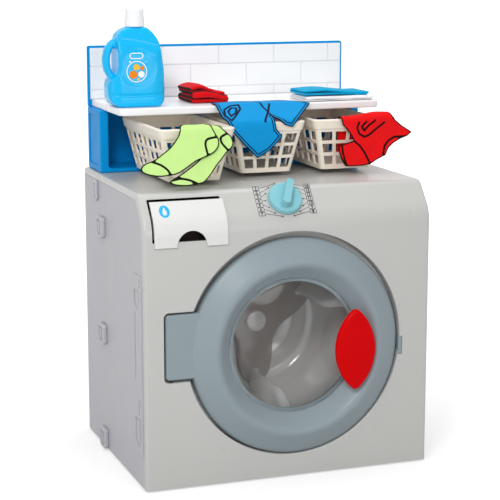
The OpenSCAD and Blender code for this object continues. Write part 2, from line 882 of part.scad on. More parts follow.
module drum_shell() {
    color("gray") difference() {
        union() {
            about_door() difference() {
                drum_2d(0, drum_front);
                translate([0, drum_front + drum_wall]) drum_inner_2d();
                translate([0, drum_front - eps]) square([mouth_r, 3 * drum_wall]);
            }
            bar_y(door_x, door_z, drum_back, drum_back + hub_l, hub_r);
        }
        bar_y(door_x, door_z, drum_back_in - eps, drum_back + hub_l + eps, axle_r + run_gap / 2);
    }
}

// Half section of the drum's inside, from the plane behind its front lip
module drum_inner_2d() {
    translate([0, -drum_front - drum_wall]) drum_2d(drum_wall, drum_front + drum_wall);
}

module drum_paddles() {
    color("gray") intersection() {
        about_door() drum_2d(drum_wall, drum_front + drum_wall);
        for (i = [0 : paddle_n - 1]) translate([door_x, 0, door_z]) rotate([0, paddle_turn + i * 360 / paddle_n, 0]) {
            block([drum_r - drum_wall - paddle_h, drum_front + 20, -paddle_w / 2],
                  [drum_r, drum_back, paddle_w / 2]);
            block([hub_cap_r + 8, drum_back_in - 10, -paddle_w / 3],
                  [drum_r, drum_back, paddle_w / 3]);
        }
    }
}

module drum_hub_cap() {
    color("darkgray") difference() {
        bar_y(door_x, door_z, drum_back_in - hub_cap_h, drum_back_in, hub_cap_r);
        bar_y(door_x, door_z, axle_start - rest_gap, drum_back_in + eps, axle_r + run_gap / 2);
    }
}

module drum_axle() {
    color("silver") bar_y(door_x, door_z, axle_start, axle_end, axle_r);
}

module axle_clip() {
    color("silver") difference() {
        bar_y(door_x, door_z, clip_ring_y, clip_ring_y + clip_ring_t, axle_r + 4);
        bar_y(door_x, door_z, clip_ring_y - eps, clip_ring_y + clip_ring_t + eps, axle_r + run_gap / 2);
    }
}

// ---------------------------------------------------------------- hutch

module hutch() {
    side_in = hutch_w / 2 - post_w;
    color("deepskyblue") {
        block([-side_in, hutch_front, body_h], [side_in, half_d, floor_top]);
        block([-side_in, back_in, body_h], [side_in, half_d, shelf_z]);
        for (m = [0, 1]) mirror([m, 0, 0]) difference() {
            block([side_in, hutch_front, body_h], [hutch_w / 2, half_d, shelf_z]);
            block([side_in + hutch_skin, hutch_front + hutch_skin, body_h - eps],
                  [hutch_w / 2 - hutch_skin, half_d - hutch_skin, shelf_z - hutch_skin]);
        }
    }
}

module splash_board() {
    color("deepskyblue") along_y(back_in, half_d) {
        rounded_2d([-hutch_w / 2, shelf_z], [hutch_w / 2, splash_top], board_r);
        translate([-hutch_w / 2, shelf_z]) square([hutch_w, board_r]);
    }
}

module tile_face() {
    face_y = back_in - tile_t;
    rows = floor((splash_h - border_w) / tile_h);
    cols = floor(tile_w / tile_l);
    color("white") difference() {
        along_y(face_y, back_in) {
            rounded_2d([-tile_w / 2, shelf_top], [tile_w / 2, splash_top - border_w], board_r / 2);
            translate([-tile_w / 2, shelf_top]) square([tile_w, board_r]);
        }
        for (r = [1 : rows]) block([-tile_w, face_y - eps, shelf_top + r * tile_h - grout_w / 2],
                                   [tile_w, face_y + grout_d, shelf_top + r * tile_h + grout_w / 2]);
        for (r = [0 : rows], c = [0 : cols]) translate([-tile_w / 2 + tile_l * (c + (r % 2 == 0 ? 0.35 : 0.85)), 0, 0])
            block([-grout_w / 2, face_y - eps, shelf_top + r * tile_h + grout_w / 2],
                  [grout_w / 2, face_y + grout_d, shelf_top + (r + 1) * tile_h - grout_w / 2]);
    }
}

// Outline of the shelf from above, set in by inset
module shelf_2d(inset) {
    w = shelf_w / 2 - inset;
    rounded_2d([-w, shelf_front + inset], [w, back_in - inset], shelf_r - inset);
    translate([-w, back_in - inset - shelf_r]) square([2 * w, shelf_r]);
}

module shelf() {
    color("white") translate([0, 0, shelf_z]) difference() {
        linear_extrude(shelf_t) shelf_2d(0);
        translate([0, 0, -eps]) linear_extrude(shelf_t - hutch_skin + eps) shelf_2d(hutch_skin + 1);
    }
}

// A folded stack of laundry on a footprint from a to b
module stack(a, b, z, h) translate([0, 0, z]) linear_extrude(h) rounded_2d(a, b, 6);

module folded_shirt() color("red") stack([shirt_x - shirt_w / 2, shirt_y - shirt_d / 2], [shirt_x + shirt_w / 2, shirt_y + shirt_d / 2],
                                     shelf_top, shirt_h);
module white_towels() color("white") stack([towels_x - towels_w, stack_y], [towels_x, stack_y + towels_d],
                                        shelf_top, towels_h);
module turquoise_towel() color("deepskyblue") stack([towel_x - towel_w, stack_y + 2], [towel_x, stack_y + 2 + towel_d],
                                                  shelf_top + towels_h, towel_h);

// ---------------------------------------------------------------- baskets

// A box that narrows downwards: half sizes at its top, and how much smaller the foot is on each side
module tapered(half_x, half_y, h, tx, ty) {
    intersection() {
        rotate([90, 0, 0]) linear_extrude(4 * half_y, center = true)
            polygon([[-half_x + tx, 0], [half_x - tx, 0], [half_x, h], [-half_x, h]]);
        rotate([90, 0, 90]) linear_extrude(4 * half_x, center = true)
            polygon([[-half_y + ty, 0], [half_y - ty, 0], [half_y, h], [-half_y, h]]);
    }
}

// Centres of n holes with a pitch, spread about zero
function spread(n, pitch) = [for (i = [0 : n - 1]) (i - (n - 1) / 2) * pitch];

module basket(x, drawn) {
    half_x = basket_w / 2 - rim_proud;
    half_y = basket_l / 2 - rim_proud;
    pitch_y = (basket_l - 2 * end_taper - 2 * rib_w) / side_holes;
    pitch_x = (basket_w - 2 * side_taper - 2 * rib_w) / end_holes;
    color("antiquewhite") translate([x, basket_in_y - drawn, basket_z]) difference() {
        union() {
            tapered(half_x, half_y, basket_h, side_taper, end_taper);
            translate([0, 0, rim_z]) tapered(basket_w / 2, basket_l / 2, rim_h,
                                             side_taper * rim_h / basket_h, end_taper * rim_h / basket_h);
        }
        translate([0, 0, basket_wall]) tapered(half_x - basket_wall, half_y - basket_wall,
                                               basket_h - basket_wall + 0.01, side_taper, end_taper);
        for (r = [0 : hole_rows - 1]) translate([0, 0, foot_band + r * (hole_h + rib_w - 2)]) {
            for (c = spread(end_holes, pitch_x * (1 + 0.12 * r)))
                block([c - hole_w / 2, -basket_l, 0], [c + hole_w / 2, basket_l, hole_h]);
            for (c = spread(side_holes, pitch_y * (1 + 0.06 * r)))
                block([-basket_w, c - hole_w / 2, 0], [basket_w, c + hole_w / 2, hole_h]);
        }
    }
}

module left_basket() basket(left_x, left_drawn);
module middle_basket() basket(middle_x, 0);
module right_basket() basket(right_x, 0);

// Laundry hung over a basket's front rim, drawn as a band that goes in, over and down to low
module rim_drape(x0, x1, drawn, low) {
    rim_front = basket_in_y - basket_l / 2 - drawn;
    rim_top = basket_z + basket_h;
    out_y = rim_front - rest_gap - cloth_t;
    in_y = rim_front + rim_proud + basket_wall + drape_in * end_taper / basket_h + rest_gap;
    along_x(x1 - x0, (x0 + x1) / 2) {
        translate([out_y, low]) square([cloth_t, drape_top - low]);
        translate([out_y, rim_top + rest_gap]) square([in_y + cloth_t - out_y, cloth_t]);
        translate([in_y, drape_top - drape_in]) square([cloth_t, drape_in]);
    }
}

module socks() color("yellowgreen") rim_drape(left_x + 1 - socks_w / 2, left_x + 1 + socks_w / 2, left_drawn, hang_z);
module t_shirt() color("crimson") rim_drape(right_x + 12 - t_shirt_w / 2, right_x + 12 + t_shirt_w / 2, 0, hang_z + 12);

module shorts() {
    rim_front = basket_in_y - basket_l / 2;
    low_y = rim_front - rest_gap - cloth_t;
    top_z = shelf_top + rest_gap;
    edge_y = shelf_front - rest_gap - cloth_t;
    color("dodgerblue") along_x(shorts_w, middle_x - 5) {
        translate([low_y, hang_z + 22]) square([cloth_t, drape_top - hang_z - 22]);
        translate([low_y, drape_top - cloth_t]) square([edge_y + cloth_t - low_y, cloth_t]);
        translate([edge_y, drape_top - cloth_t]) square([cloth_t, top_z + cloth_t - drape_top + cloth_t]);
        translate([edge_y, top_z]) square([16, cloth_t]);
    }
}

// ---------------------------------------------------------------- bottle

// Outline of the bottle from the front, about its own centre and foot
module bottle_2d() {
    difference() {
        translate(loop_c) circle(loop_r);
        translate(loop_c) circle(loop_hole_r);
        translate([bottle_back_x, -loop_r]) square([4 * loop_r, 6 * loop_r]);
    }
    rounded_2d([-bottle_side, 0], [bottle_side, 34], 12);
    polygon([[bottle_back_x, 20], [bottle_side, 20], [bottle_side - 5, 60], [bottle_side - 9, 82],
             [neck_r + 5, bottle_h], [-neck_r - 5, bottle_h], [bottle_back_x, 92]]);
}

module bottle_body() {
    left = loop_c.x - loop_r;
    color("deepskyblue") translate([bottle_x, bottle_y, bottle_z]) {
        intersection() {
            along_y(-bottle_d / 2, bottle_d / 2) bottle_2d();
            linear_extrude(2 * bottle_h) rounded_2d([left - 1, -bottle_d / 2], [bottle_side + 1, bottle_d / 2], 18);
        }
        translate([0, 0, bottle_h]) cylinder(h = neck_h, r = neck_r);
    }
}

module bottle_cap() {
    color("white") translate([bottle_x, bottle_y, bottle_z + bottle_h + rest_gap]) difference() {
        cylinder(h = cap_h, r1 = cap_r, r2 = cap_r - 2);
        translate([0, 0, -eps]) cylinder(h = neck_h + eps, r = neck_r + run_gap);
    }
}

front_panel();
left_side_panel();
right_side_panel();
rear_panel();
base_panel();
feet();
left_clips();
right_clips();
panel_screws();
door_seal();
bearing_bracket();
hinge_pin();
latch_catch();
drawer_sleeve();
sound_module();
speaker();
battery_box();
battery_cover();
batteries();
battery_screw();
hutch();
splash_board();
tile_face();
shelf();
folded_shirt();
white_towels();
turquoise_towel();
door_ring();
door_back_ring();
door_window();
door_handle();
door_latch();
door_screws();
drum_shell();
drum_paddles();
drum_hub_cap();
drum_axle();
axle_clip();
knob();
knob_shaft();
drawer_front();
drawer_tray();
left_basket();
socks();
middle_basket();
shorts();
right_basket();
t_shirt();
bottle_body();
bottle_cap();
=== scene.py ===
"""Toy washing machine with a laundry hutch: detailed pieces, finishes, light and camera.

Lengths are millimetres until they reach a mesh. X is to the right, Y to the back and Z up.
"""
import logging
from dataclasses import dataclass, field
from enum import Enum
from math import acos, cos, degrees, dist, exp, hypot, pi, radians, sin, sqrt, tan
from typing import Callable, Sequence

import bmesh
import bpy
import numpy as np
from mathutils import Matrix, Vector, geometry, noise


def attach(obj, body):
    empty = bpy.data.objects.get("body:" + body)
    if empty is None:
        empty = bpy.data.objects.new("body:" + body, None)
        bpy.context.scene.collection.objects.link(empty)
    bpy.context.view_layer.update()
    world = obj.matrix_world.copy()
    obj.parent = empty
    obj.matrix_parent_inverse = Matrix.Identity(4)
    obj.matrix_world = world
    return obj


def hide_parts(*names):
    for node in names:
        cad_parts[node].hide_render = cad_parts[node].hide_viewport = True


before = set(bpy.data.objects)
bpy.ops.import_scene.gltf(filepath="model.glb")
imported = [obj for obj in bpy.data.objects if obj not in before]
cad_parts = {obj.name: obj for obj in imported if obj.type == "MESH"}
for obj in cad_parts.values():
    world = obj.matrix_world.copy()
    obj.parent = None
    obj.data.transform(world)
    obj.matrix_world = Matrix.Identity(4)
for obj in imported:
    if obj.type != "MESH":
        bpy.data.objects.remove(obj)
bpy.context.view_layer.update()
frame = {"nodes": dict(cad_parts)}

MM = 0.001
LOG = logging.getLogger("washer")

Point2 = tuple[float, float]
Point3 = tuple[float, float, float]
Points = Sequence[Point2]
Obj = bpy.types.Object


# ---- sizes


@dataclass(frozen=True)
class CabinetSize:
    """Outline of the cabinet and its control slope."""

    half_w: float = 200.0
    front: float = -150.0
    rear: float = 150.0
    deck: float = 388.0
    base: float = 2.0
    wall: float = 3.0
    flange: float = 8.0
    slope_deg: float = 50.0
    slope_run: float = 32.0
    deck_fillet: float = 16.0
    front_fillet: float = 40.0
    edge: float = 5.0


@dataclass(frozen=True)
class DoorSize:
    """Door ring, window, handle, hinge block and the recess they sit in."""

    x: float = 8.0
    z: float = 178.0
    outer_r: float = 146.0
    window_r: float = 91.0
    crest_y: float = -163.9
    back_y: float = -138.0
    recess_r: float = 150.5
    recess_dx: float = -1.5
    recess_dz: float = 3.8
    recess_y: float = -132.0
    pan_y: float = -129.0
    seal_r: float = 100.0
    hinge_x: float = -164.0
    hinge_y: float = -145.5
    hinge_z: float = 190.5
    hinge_h: float = 87.0
    barrel_r: float = 7.5
    pocket_x: float = -174.5
    pocket_y: float = -136.0
    pocket_h: float = 93.0
    handle_x: float = 86.0
    handle_z: float = 171.5
    handle_w: float = 56.0
    handle_h: float = 113.0


@dataclass(frozen=True)
class DrumSize:
    """Drum shell, its ribs and paddles."""

    front: float = -125.3
    inside: float = 18.7
    back: float = 21.7
    outer_r: float = 103.0
    mouth_r: float = 95.0
    fillet: float = 25.0
    paddles: int = 3
    turn_deg: float = 90.0


@dataclass(frozen=True)
class DrawerSize:
    """Detergent drawer's front, tray and finger arch."""

    x: float = -137.0
    w: float = 98.0
    low: float = 322.0
    high: float = 378.0
    proud: float = 3.0
    thick: float = 2.5
    arch_x: float = -136.0
    arch_z: float = 322.5
    arch_r: float = 20.0
    tray_front: float = -132.0
    tray_back: float = -66.0
    tray_low: float = 329.5
    tray_high: float = 358.0
    tray_w: float = 90.0


@dataclass(frozen=True)
class KnobSize:
    """Knob's place on the control slope, and the turn of its grip at rest."""

    x: float = -3.0
    drop: float = 20.5
    grip_deg: float = -22.0


@dataclass(frozen=True)
class HutchSize:
    """Hutch, shelf and tiled splash board."""

    half_w: float = 194.0
    front: float = 80.0
    rear: float = 150.0
    back_in: float = 144.0
    floor: float = 394.0
    shelf_low: float = 475.0
    shelf: float = 485.0
    shelf_front: float = -7.0
    shelf_half: float = 189.0
    post: float = 12.0
    board_top: float = 560.0
    border: float = 3.2
    tile_l: float = 85.4
    tile_h: float = 32.6
    grout: float = 1.6


@dataclass(frozen=True)
class BasketSize:
    """One laundry basket; the same mould makes all three."""

    w: float = 106.0
    l: float = 188.0
    h: float = 70.0
    base: float = 394.3
    side_taper: float = 15.0
    end_taper: float = 14.0
    wall: float = 2.4
    rim: float = 13.0
    proud: float = 2.0
    y: float = 49.0
    left_x: float = -107.0
    middle_x: float = 10.0
    right_x: float = 127.0
    drawn: float = 45.0


@dataclass(frozen=True)
class BottleSize:
    """Detergent bottle and its ribbed cap."""

    x: float = -157.0
    y: float = 30.0
    base: float = 485.3
    w: float = 74.0
    d: float = 45.0
    h: float = 106.0
    neck_r: float = 9.0


CABINET = CabinetSize()
DOOR = DoorSize()
DRUM = DrumSize()
DRAWER = DrawerSize()
KNOB = KnobSize()
HUTCH = HutchSize()
BASKET = BasketSize()
BOTTLE = BottleSize()


# ---- finishes


@dataclass(frozen=True)
class Finish:
    """A real material and the few numbers its node tree is built from.

    Attributes:
        name: The real material.
        colour: Its sRGB colour.
        roughness: Its mean roughness.
        grain_mm: Size of the moulded or spun grain.
        grain: Depth of that grain in millimetres.
        mottle: Share by which the colour varies from place to place.
        mottle_mm: Size of the colour's patches.
        gloss_shift: How much the roughness varies either way.
        specular: Strength of the plain surface reflection; 0.5 is a bare plastic's.
        metallic: 1 for bare metal.
        coat: Weight of a clear gloss coat.
        sheen: Weight of a fabric's sheen.
        thread_mm: Pitch of a woven fabric's threads, or 0.
        ink: Colour of printed lines, or an empty string.
    """

    name: str
    colour: str
    roughness: float = 0.45
    grain_mm: float = 0.9
    grain: float = 0.02
    mottle: float = 0.03
    mottle_mm: float = 60.0
    gloss_shift: float = 0.06
    specular: float = 0.35
    metallic: float = 0.0
    coat: float = 0.0
    sheen: float = 0.0
    thread_mm: float = 0.0
    ink: str = ""


class Look(Enum):
    """Every finish on the toy."""

    # Moulded polypropylene, fine satin grain, front moulding.
    FRONT = Finish("Front polypropylene", "#C0C0BD", 0.30, 0.8, 0.014, 0.02, 90, 0.06, 0.5)
    # Moulded polypropylene in a cooler grey, side and rear panels.
    SIDE = Finish("Side polypropylene", "#B6B6BB", 0.45, 0.9, 0.022, 0.03, 80)
    # The same grey on the small clips.
    TRIM = Finish("Clip polypropylene", "#BCBCC1", 0.40, 0.7, 0.015, 0.03, 20)
    # Blue-grey polypropylene, door ring.
    RING = Finish("Door ring polypropylene", "#8D9AA0", 0.36, 0.7, 0.012, 0.03, 50)
    # Glossy red ABS, door handle.
    HANDLE = Finish("Red ABS", "#D40004", 0.22, 0.6, 0.004, 0.03, 30, 0.04, 0.06)
    # Glossy grey styrene, drum, paddles and hub cap.
    DRUM = Finish("Drum styrene", "#D4D3D2", 0.16, 2.2, 0.004, 0.05, 45, 0.04, 0.6, coat=0.5)
    # The drum's styrene in a darker grey as painted shade, plate on the drum's rear wall.
    PLATE = Finish("Drum styrene with painted shade", "#98928E", 0.20, 2.2, 0.004, 0.05, 45, 0.04, 0.6, coat=0.4)
    # Pale aqua polypropylene, programme knob.
    KNOB = Finish("Aqua polypropylene", "#86C2CC", 0.35, 0.6, 0.010, 0.03, 15, 0.06, 0.2)
    # White polypropylene, drawer.
    DRAWER = Finish("Drawer polypropylene", "#DEDEDC", 0.38, 0.7, 0.012, 0.02, 40)
    # Saturated blue polypropylene, hutch.
    HUTCH = Finish("Blue polypropylene", "#0092DC", 0.42, 0.8, 0.012, 0.05, 70, 0.06, 0.08)
    # White styrene board, shelf.
    BOARD = Finish("White styrene", "#F4F4F6", 0.30, 0.8, 0.010, 0.015, 70)
    # Glossy white tile, splash board.
    TILE = Finish("Tile styrene", "#F4F5F6", 0.18, 3.0, 0.020, 0.015, 60, 0.05, coat=0.3)
    # Pale grey between the tiles.
    GROUT = Finish("Grout styrene", "#E0E2E5", 0.70, 0.6, 0.030, 0.05, 25)
    # Cream polypropylene, baskets.
    BASKET = Finish("Cream polypropylene", "#F4EBDC", 0.42, 0.7, 0.014, 0.035, 30)
    # Glossy cyan polyethylene, bottle.
    BOTTLE = Finish("Cyan polyethylene", "#00B8F2", 0.20, 1.2, 0.006, 0.05, 40, 0.05, 0.25)
    # White polypropylene, bottle cap.
    CAP = Finish("Cap polypropylene", "#F3F4F6", 0.33, 0.6, 0.010, 0.02, 15)
    # White label print, rings and bubbles.
    LABEL = Finish("Label paper", "#F7F8F8", 0.45, 0.4, 0.006, 0.02, 12)
    # Orange label print.
    LABEL_WARM = Finish("Label print orange", "#F08A1E", 0.40, 0.4, 0.004, 0.05, 10, specular=0.1)
    # Yellow label print.
    LABEL_YELLOW = Finish("Label print yellow", "#F4C33C", 0.40, 0.4, 0.004, 0.05, 10, specular=0.1)
    # Dark pad-printed ink, dial marks.
    INK = Finish("Pad printed ink", "#3C3D3F", 0.50, 0.3, 0.004, 0.06, 8, specular=0.1)
    # Light-blue pad-printed ink, drawer mark.
    INK_BLUE = Finish("Blue pad printed ink", "#27B4E6", 0.45, 0.3, 0.004, 0.05, 8, specular=0.15)
    # Black acetal, latch, hinge pin and sound module; on the hinge pin the black is painted shade for its
    # dark gap.
    DARK = Finish("Black acetal", "#232426", 0.38, 0.6, 0.012, 0.06, 25)
    # Painted shade in dull brown-black, on the drawer housing and the hollow behind its finger arch:
    # these dark pieces stand for the shade in the gaps and the pocket.
    SHADOW = Finish("Painted shade brown-black", "#2A211C", 0.60, 0.8, 0.015, 0.06, 30, specular=0.1)
    # Black nitrile rubber, door seal.
    SEAL = Finish("Nitrile rubber", "#2B2C2E", 0.62, 0.5, 0.020, 0.08, 25)
    # Zinc-plated steel, screws and axle.
    STEEL = Finish("Zinc-plated steel", "#B9BCC0", 0.28, 0.5, 0.004, 0.05, 6, 0.08, metallic=1.0)
    # Printed metal can of a dry cell.
    CELL = Finish("Cell can", "#3C7A4A", 0.32, 0.5, 0.004, 0.05, 10, 0.05, metallic=0.6)
    # Printed felt, lime green with a black outline.
    GREEN = Finish("Green printed felt", "#C8EE92", 0.85, 0.7, 0.05, 0.05, 14, specular=0.1, sheen=0.05,
        thread_mm=0.55, ink="#10130C")
    # Printed felt, blue with a navy outline.
    BLUE = Finish("Blue printed felt", "#1096D8", 0.80, 0.7, 0.05, 0.05, 18, specular=0.1, sheen=0.03,
        thread_mm=0.55, ink="#0C1838")
    # Printed felt, red with a black outline.
    RED = Finish("Red printed felt", "#EC1418", 0.80, 0.7, 0.05, 0.05, 16, specular=0.1, sheen=0.03,
        thread_mm=0.55, ink="#1E080A")
    # Knitted red cotton, folded shirt.
    SHIRT = Finish("Red cotton knit", "#DC0F18", 0.85, 0.8, 0.07, 0.06, 12, specular=0.1, sheen=0.05,
        thread_mm=0.8, ink="#1E080A")
    # White terry cotton.
    TERRY = Finish("White terry cotton", "#F4F4F6", 0.95, 1.3, 0.22, 0.04, 10, sheen=0.2)
    # Turquoise terry cotton.
    TERRY_BLUE = Finish("Turquoise terry cotton", "#00A4D4", 0.95, 1.3, 0.22, 0.06, 10, specular=0.1,
        sheen=0.06)


def linear(colour: str) -> tuple[float, float, float, float]:
    """Turn an sRGB hex colour into the linear one that shaders take.

    Args:
        colour: "#RRGGBB".

    Returns:
        Linear red, green, blue and an alpha of 1.
    """
    parts = [int(colour[i:i + 2], 16) / 255 for i in (1, 3, 5)]
    out = [c / 12.92 if c <= 0.04045 else ((c + 0.055) / 1.055) ** 2.4 for c in parts]
    return (out[0], out[1], out[2], 1.0)


class NodeTree:
    """A material's node tree with one way to add a node."""

    def __init__(self, material: bpy.types.Material | bpy.types.World) -> None:
        """Take over a material's or a world's nodes, and clear them.

        Args:
            material: The material or world.
        """
        material.use_nodes = True
        self.tree = material.node_tree
        self.tree.nodes.clear()

    def add(self, kind: str, values: dict | None = None, **settings: object) -> bpy.types.Node:
        """Add a node, set its properties, and set or link its inputs.

        Args:
            kind: Node type without the ShaderNode prefix.
            values: Input name or index to a constant or to another node's output.
            settings: Node properties.

        Returns:
            The new node.
        """
        made = self.tree.nodes.new("ShaderNode" + kind)
        for key, value in settings.items():
            setattr(made, key, value)
        for key, value in (values or {}).items():
            if isinstance(value, bpy.types.NodeSocket):
                self.tree.links.new(value, made.inputs[key])
            else:
                made.inputs[key].default_value = value
        return made


class Paint:
    """Makes each finish's material once and hands it out."""

    def __init__(self) -> None:
        """Start with nothing made."""
        self._made: dict[str, bpy.types.Material] = {}

    def get(self, look: Look) -> bpy.types.Material:
        """Give a finish's material, making it the first time.

        Args:
            look: The finish.

        Returns:
            Its material.
        """
        if look.name not in self._made:
            self._made[look.name] = self._opaque(look.value)
        return self._made[look.name]

    def _opaque(self, f: Finish) -> bpy.types.Material:
        """Build the material of a moulded, printed or woven surface.

        Args:
            f: Its finish.

        Returns:
            The material.
        """
        material = bpy.data.materials.new(f.name)
        nodes = NodeTree(material)
        coord = nodes.add("TexCoord").outputs["Object"]
        patches = nodes.add("TexNoise", {"Vector": coord, "Scale": 1 / (f.mottle_mm * MM), "Detail": 3.0,
            "Roughness": 0.55})
        base = linear(f.colour)
        shades = [tuple(min(1.0, c * k) for c in base[:3]) + (1.0,) for k in (1 - f.mottle, 1 + f.mottle)]
        # A Mix node's colour inputs are 6 and 7, and its colour output is 2.
        colour = nodes.add("Mix", {0: patches.outputs["Fac"], 6: shades[0], 7: shades[1]},
            data_type="RGBA").outputs[2]
        if f.ink:
            mark = nodes.add("Attribute", attribute_name="ink").outputs["Fac"]
            edge = nodes.add("MapRange", {"Value": mark, "From Min": 1.25, "From Max": 1.8, "To Min": 1.0,
                "To Max": 0.0})
            printed = nodes.add("Mix", {0: edge.outputs["Result"], 6: colour, 7: linear(f.ink)},
                data_type="RGBA")
            colour = printed.outputs[2]
        wear = nodes.add("TexNoise", {"Vector": coord, "Scale": 1 / (f.mottle_mm * 0.35 * MM),
            "Detail": 2.0})
        rough = nodes.add("MapRange",
            {"Value": wear.outputs["Fac"], "To Min": max(0.03, f.roughness - f.gloss_shift),
            "To Max": min(1.0, f.roughness + f.gloss_shift)})
        height = self._relief(nodes, f, coord)
        bump = nodes.add("Bump", {"Height": height, "Strength": 1.0, "Distance": f.grain * MM})
        surface = nodes.add("BsdfPrincipled", {"Base Color": colour, "Roughness": rough.outputs["Result"],
            "Normal": bump.outputs["Normal"], "Metallic": f.metallic, "Specular IOR Level": f.specular,
            "Coat Weight": f.coat, "Coat Roughness": 0.08, "Sheen Weight": f.sheen,
            "Sheen Roughness": 0.5, "IOR": 1.48})
        nodes.add("OutputMaterial", {"Surface": surface.outputs[0]})
        return material

    @staticmethod
    def _relief(nodes: NodeTree, f: Finish, coord: bpy.types.NodeSocket) -> bpy.types.NodeSocket:
        """Build the grain's height: woven threads for cloth, and a fine noise for the rest.

        Args:
            nodes: The material's nodes.
            f: Its finish.
            coord: Object coordinates.

        Returns:
            The height.
        """
        grain = nodes.add("TexNoise", {"Vector": coord, "Scale": 1 / (f.grain_mm * MM), "Detail": 3.0,
            "Roughness": 0.6}).outputs["Fac"]
        if not f.thread_mm:
            return grain
        # A wave of scale s has s * 2 * pi / 20 bands a unit, so this gives one band a thread.
        scale = 20 / (2 * pi * f.thread_mm * MM)
        threads = [nodes.add("TexWave", {"Vector": coord, "Scale": scale, "Distortion": 1.2,
            "Detail": 1.0}, bands_direction=d).outputs["Fac"] for d in ("X", "Z")]
        crossed = nodes.add("Math", {0: threads[0], 1: threads[1]}, operation="MULTIPLY")
        return nodes.add("Math", {0: crossed.outputs[0], 1: grain}, operation="ADD").outputs[0]

    def clear_window(self) -> bpy.types.Material:
        """Give the window's clear styrene, whose reflections grow at grazing angles.

        Returns:
            The material.
        """
        material = bpy.data.materials.new("Clear styrene")
        nodes = NodeTree(material)
        coord = nodes.add("TexCoord").outputs["Object"]
        haze = nodes.add("TexNoise", {"Vector": coord, "Scale": 1 / (30 * MM), "Detail": 3.0})
        rough = nodes.add("MapRange", {"Value": haze.outputs["Fac"], "To Min": 0.02, "To Max": 0.07})
        wave = nodes.add("TexNoise", {"Vector": coord, "Scale": 1 / (55 * MM), "Detail": 0.0})
        bump = nodes.add("Bump", {"Height": wave.outputs["Fac"], "Strength": 1.0, "Distance": 0.5 * MM})
        glance = nodes.add("Fresnel", {"IOR": 1.22, "Normal": bump.outputs["Normal"]})
        surface = nodes.add("BsdfPrincipled", {"Base Color": linear("#F4F8FA"), "Metallic": 1.0,
            "Roughness": rough.outputs["Result"], "Alpha": glance.outputs[0],
            "Normal": bump.outputs["Normal"]})
        nodes.add("OutputMaterial", {"Surface": surface.outputs[0]})
        return material


PAINT = Paint()


# ---- modelling steps


class Axis(Enum):
    """Direction that an outline is extruded along, and where its two numbers go."""

    X = 0
    Y = 1
    Z = 2

    def point(self, a: float, b: float, along: float) -> Vector:
        """Place an outline's point (a, b) at a distance along the axis."""
        return Vector({Axis.X: (along, a, b), Axis.Y: (a, along, b), Axis.Z: (a, b, along)}[self])


def deselect() -> None:
    """Leave edit mode and select nothing."""
    if bpy.context.object is not None and bpy.context.object.mode != "OBJECT":
        bpy.ops.object.mode_set(mode="OBJECT")
    bpy.ops.object.select_all(action="DESELECT")


def pick(obj: Obj, *others: Obj) -> Obj:
    """Select only these objects and make the first one active.

    Args:
        obj: The object to make active.
        others: More objects to select.

    Returns:
        The active object.
    """
    deselect()
    for one in (obj, *others):
        one.select_set(True)
    bpy.context.view_layer.objects.active = obj
    return obj


def take(name: str) -> Obj:
    """Put a new primitive's place in its mesh, and name it.

    Args:
        name: The object's name.

    Returns:
        The object.
    """
    bpy.ops.object.transform_apply(location=True, rotation=True, scale=True)
    obj = bpy.context.object
    obj.name = obj.data.name = name
    return obj


def box(name: str, low: Point3, high: Point3, edge: float = 0.0, segments: int = 2) -> Obj:
    """Make a box, with rounded edges if edge is given.

    Args:
        name: The object's name.
        low: One corner.
        high: The corner opposite it.
        edge: Radius of its edges.
        segments: Segments in each rounded edge.

    Returns:
        The box.
    """
    deselect()
    middle = [(a + b) / 2 * MM for a, b in zip(low, high)]
    bpy.ops.mesh.primitive_cube_add(size=1, location=middle)
    bpy.context.object.scale = [abs(b - a) * MM for a, b in zip(low, high)]
    obj = take(name)
    return bevel(obj, edge, segments) if edge else obj


def rod(name: str, start: Point3, end: Point3, r0: float, r1: float | None = None,
        sides: int = 48) -> Obj:
    """Make a round bar or cone from one point to another.

    Args:
        name: The object's name.
        start: Centre of one end.
        end: Centre of the other.
        r0: Radius at the start.
        r1: Radius at the end, if it differs.
        sides: Number of sides.

    Returns:
        The bar.
    """
    deselect()
    a, b = Vector(start) * MM, Vector(end) * MM
    turn = (b - a).to_track_quat("Z", "Y").to_euler()
    far = r0 if r1 is None else r1
    bpy.ops.mesh.primitive_cone_add(vertices=sides, radius1=r0 * MM, radius2=far * MM,
        depth=(b - a).length, location=(a + b) / 2, rotation=turn)
    return take(name)


def link(name: str, data: bpy.types.ID) -> Obj:
    """Put new data into the scene.

    Args:
        name: The object's name.
        data: A mesh, camera or lamp.

    Returns:
        Its object.
    """
    obj = bpy.data.objects.new(name, data)
    bpy.context.scene.collection.objects.link(obj)
    return obj


def new_mesh(name: str, verts: Sequence[Sequence[float]], edges: Sequence = (),
        faces: Sequence = ()) -> Obj:
    """Make an object from points.

    Args:
        name: The object's name.
        verts: Points in millimetres.
        edges: Pairs of points.
        faces: Loops of points.

    Returns:
        The object, selected and active.
    """
    data = bpy.data.meshes.new(name)
    data.from_pydata([tuple(Vector(v) * MM) for v in verts], list(edges), list(faces))
    data.update()
    return pick(link(name, data))


def edit_all() -> None:
    """Enter edit mode with the active mesh selected all over."""
    bpy.ops.object.mode_set(mode="EDIT")
    bpy.ops.mesh.select_all(action="SELECT")


def outward(obj: Obj) -> Obj:
    """Turn a closed mesh's faces outwards, and leave edit mode.

    Args:
        obj: The active object.

    Returns:
        The object.
    """
    edit_all()
    bpy.ops.mesh.normals_make_consistent(inside=False)
    bpy.ops.object.mode_set(mode="OBJECT")
    return obj


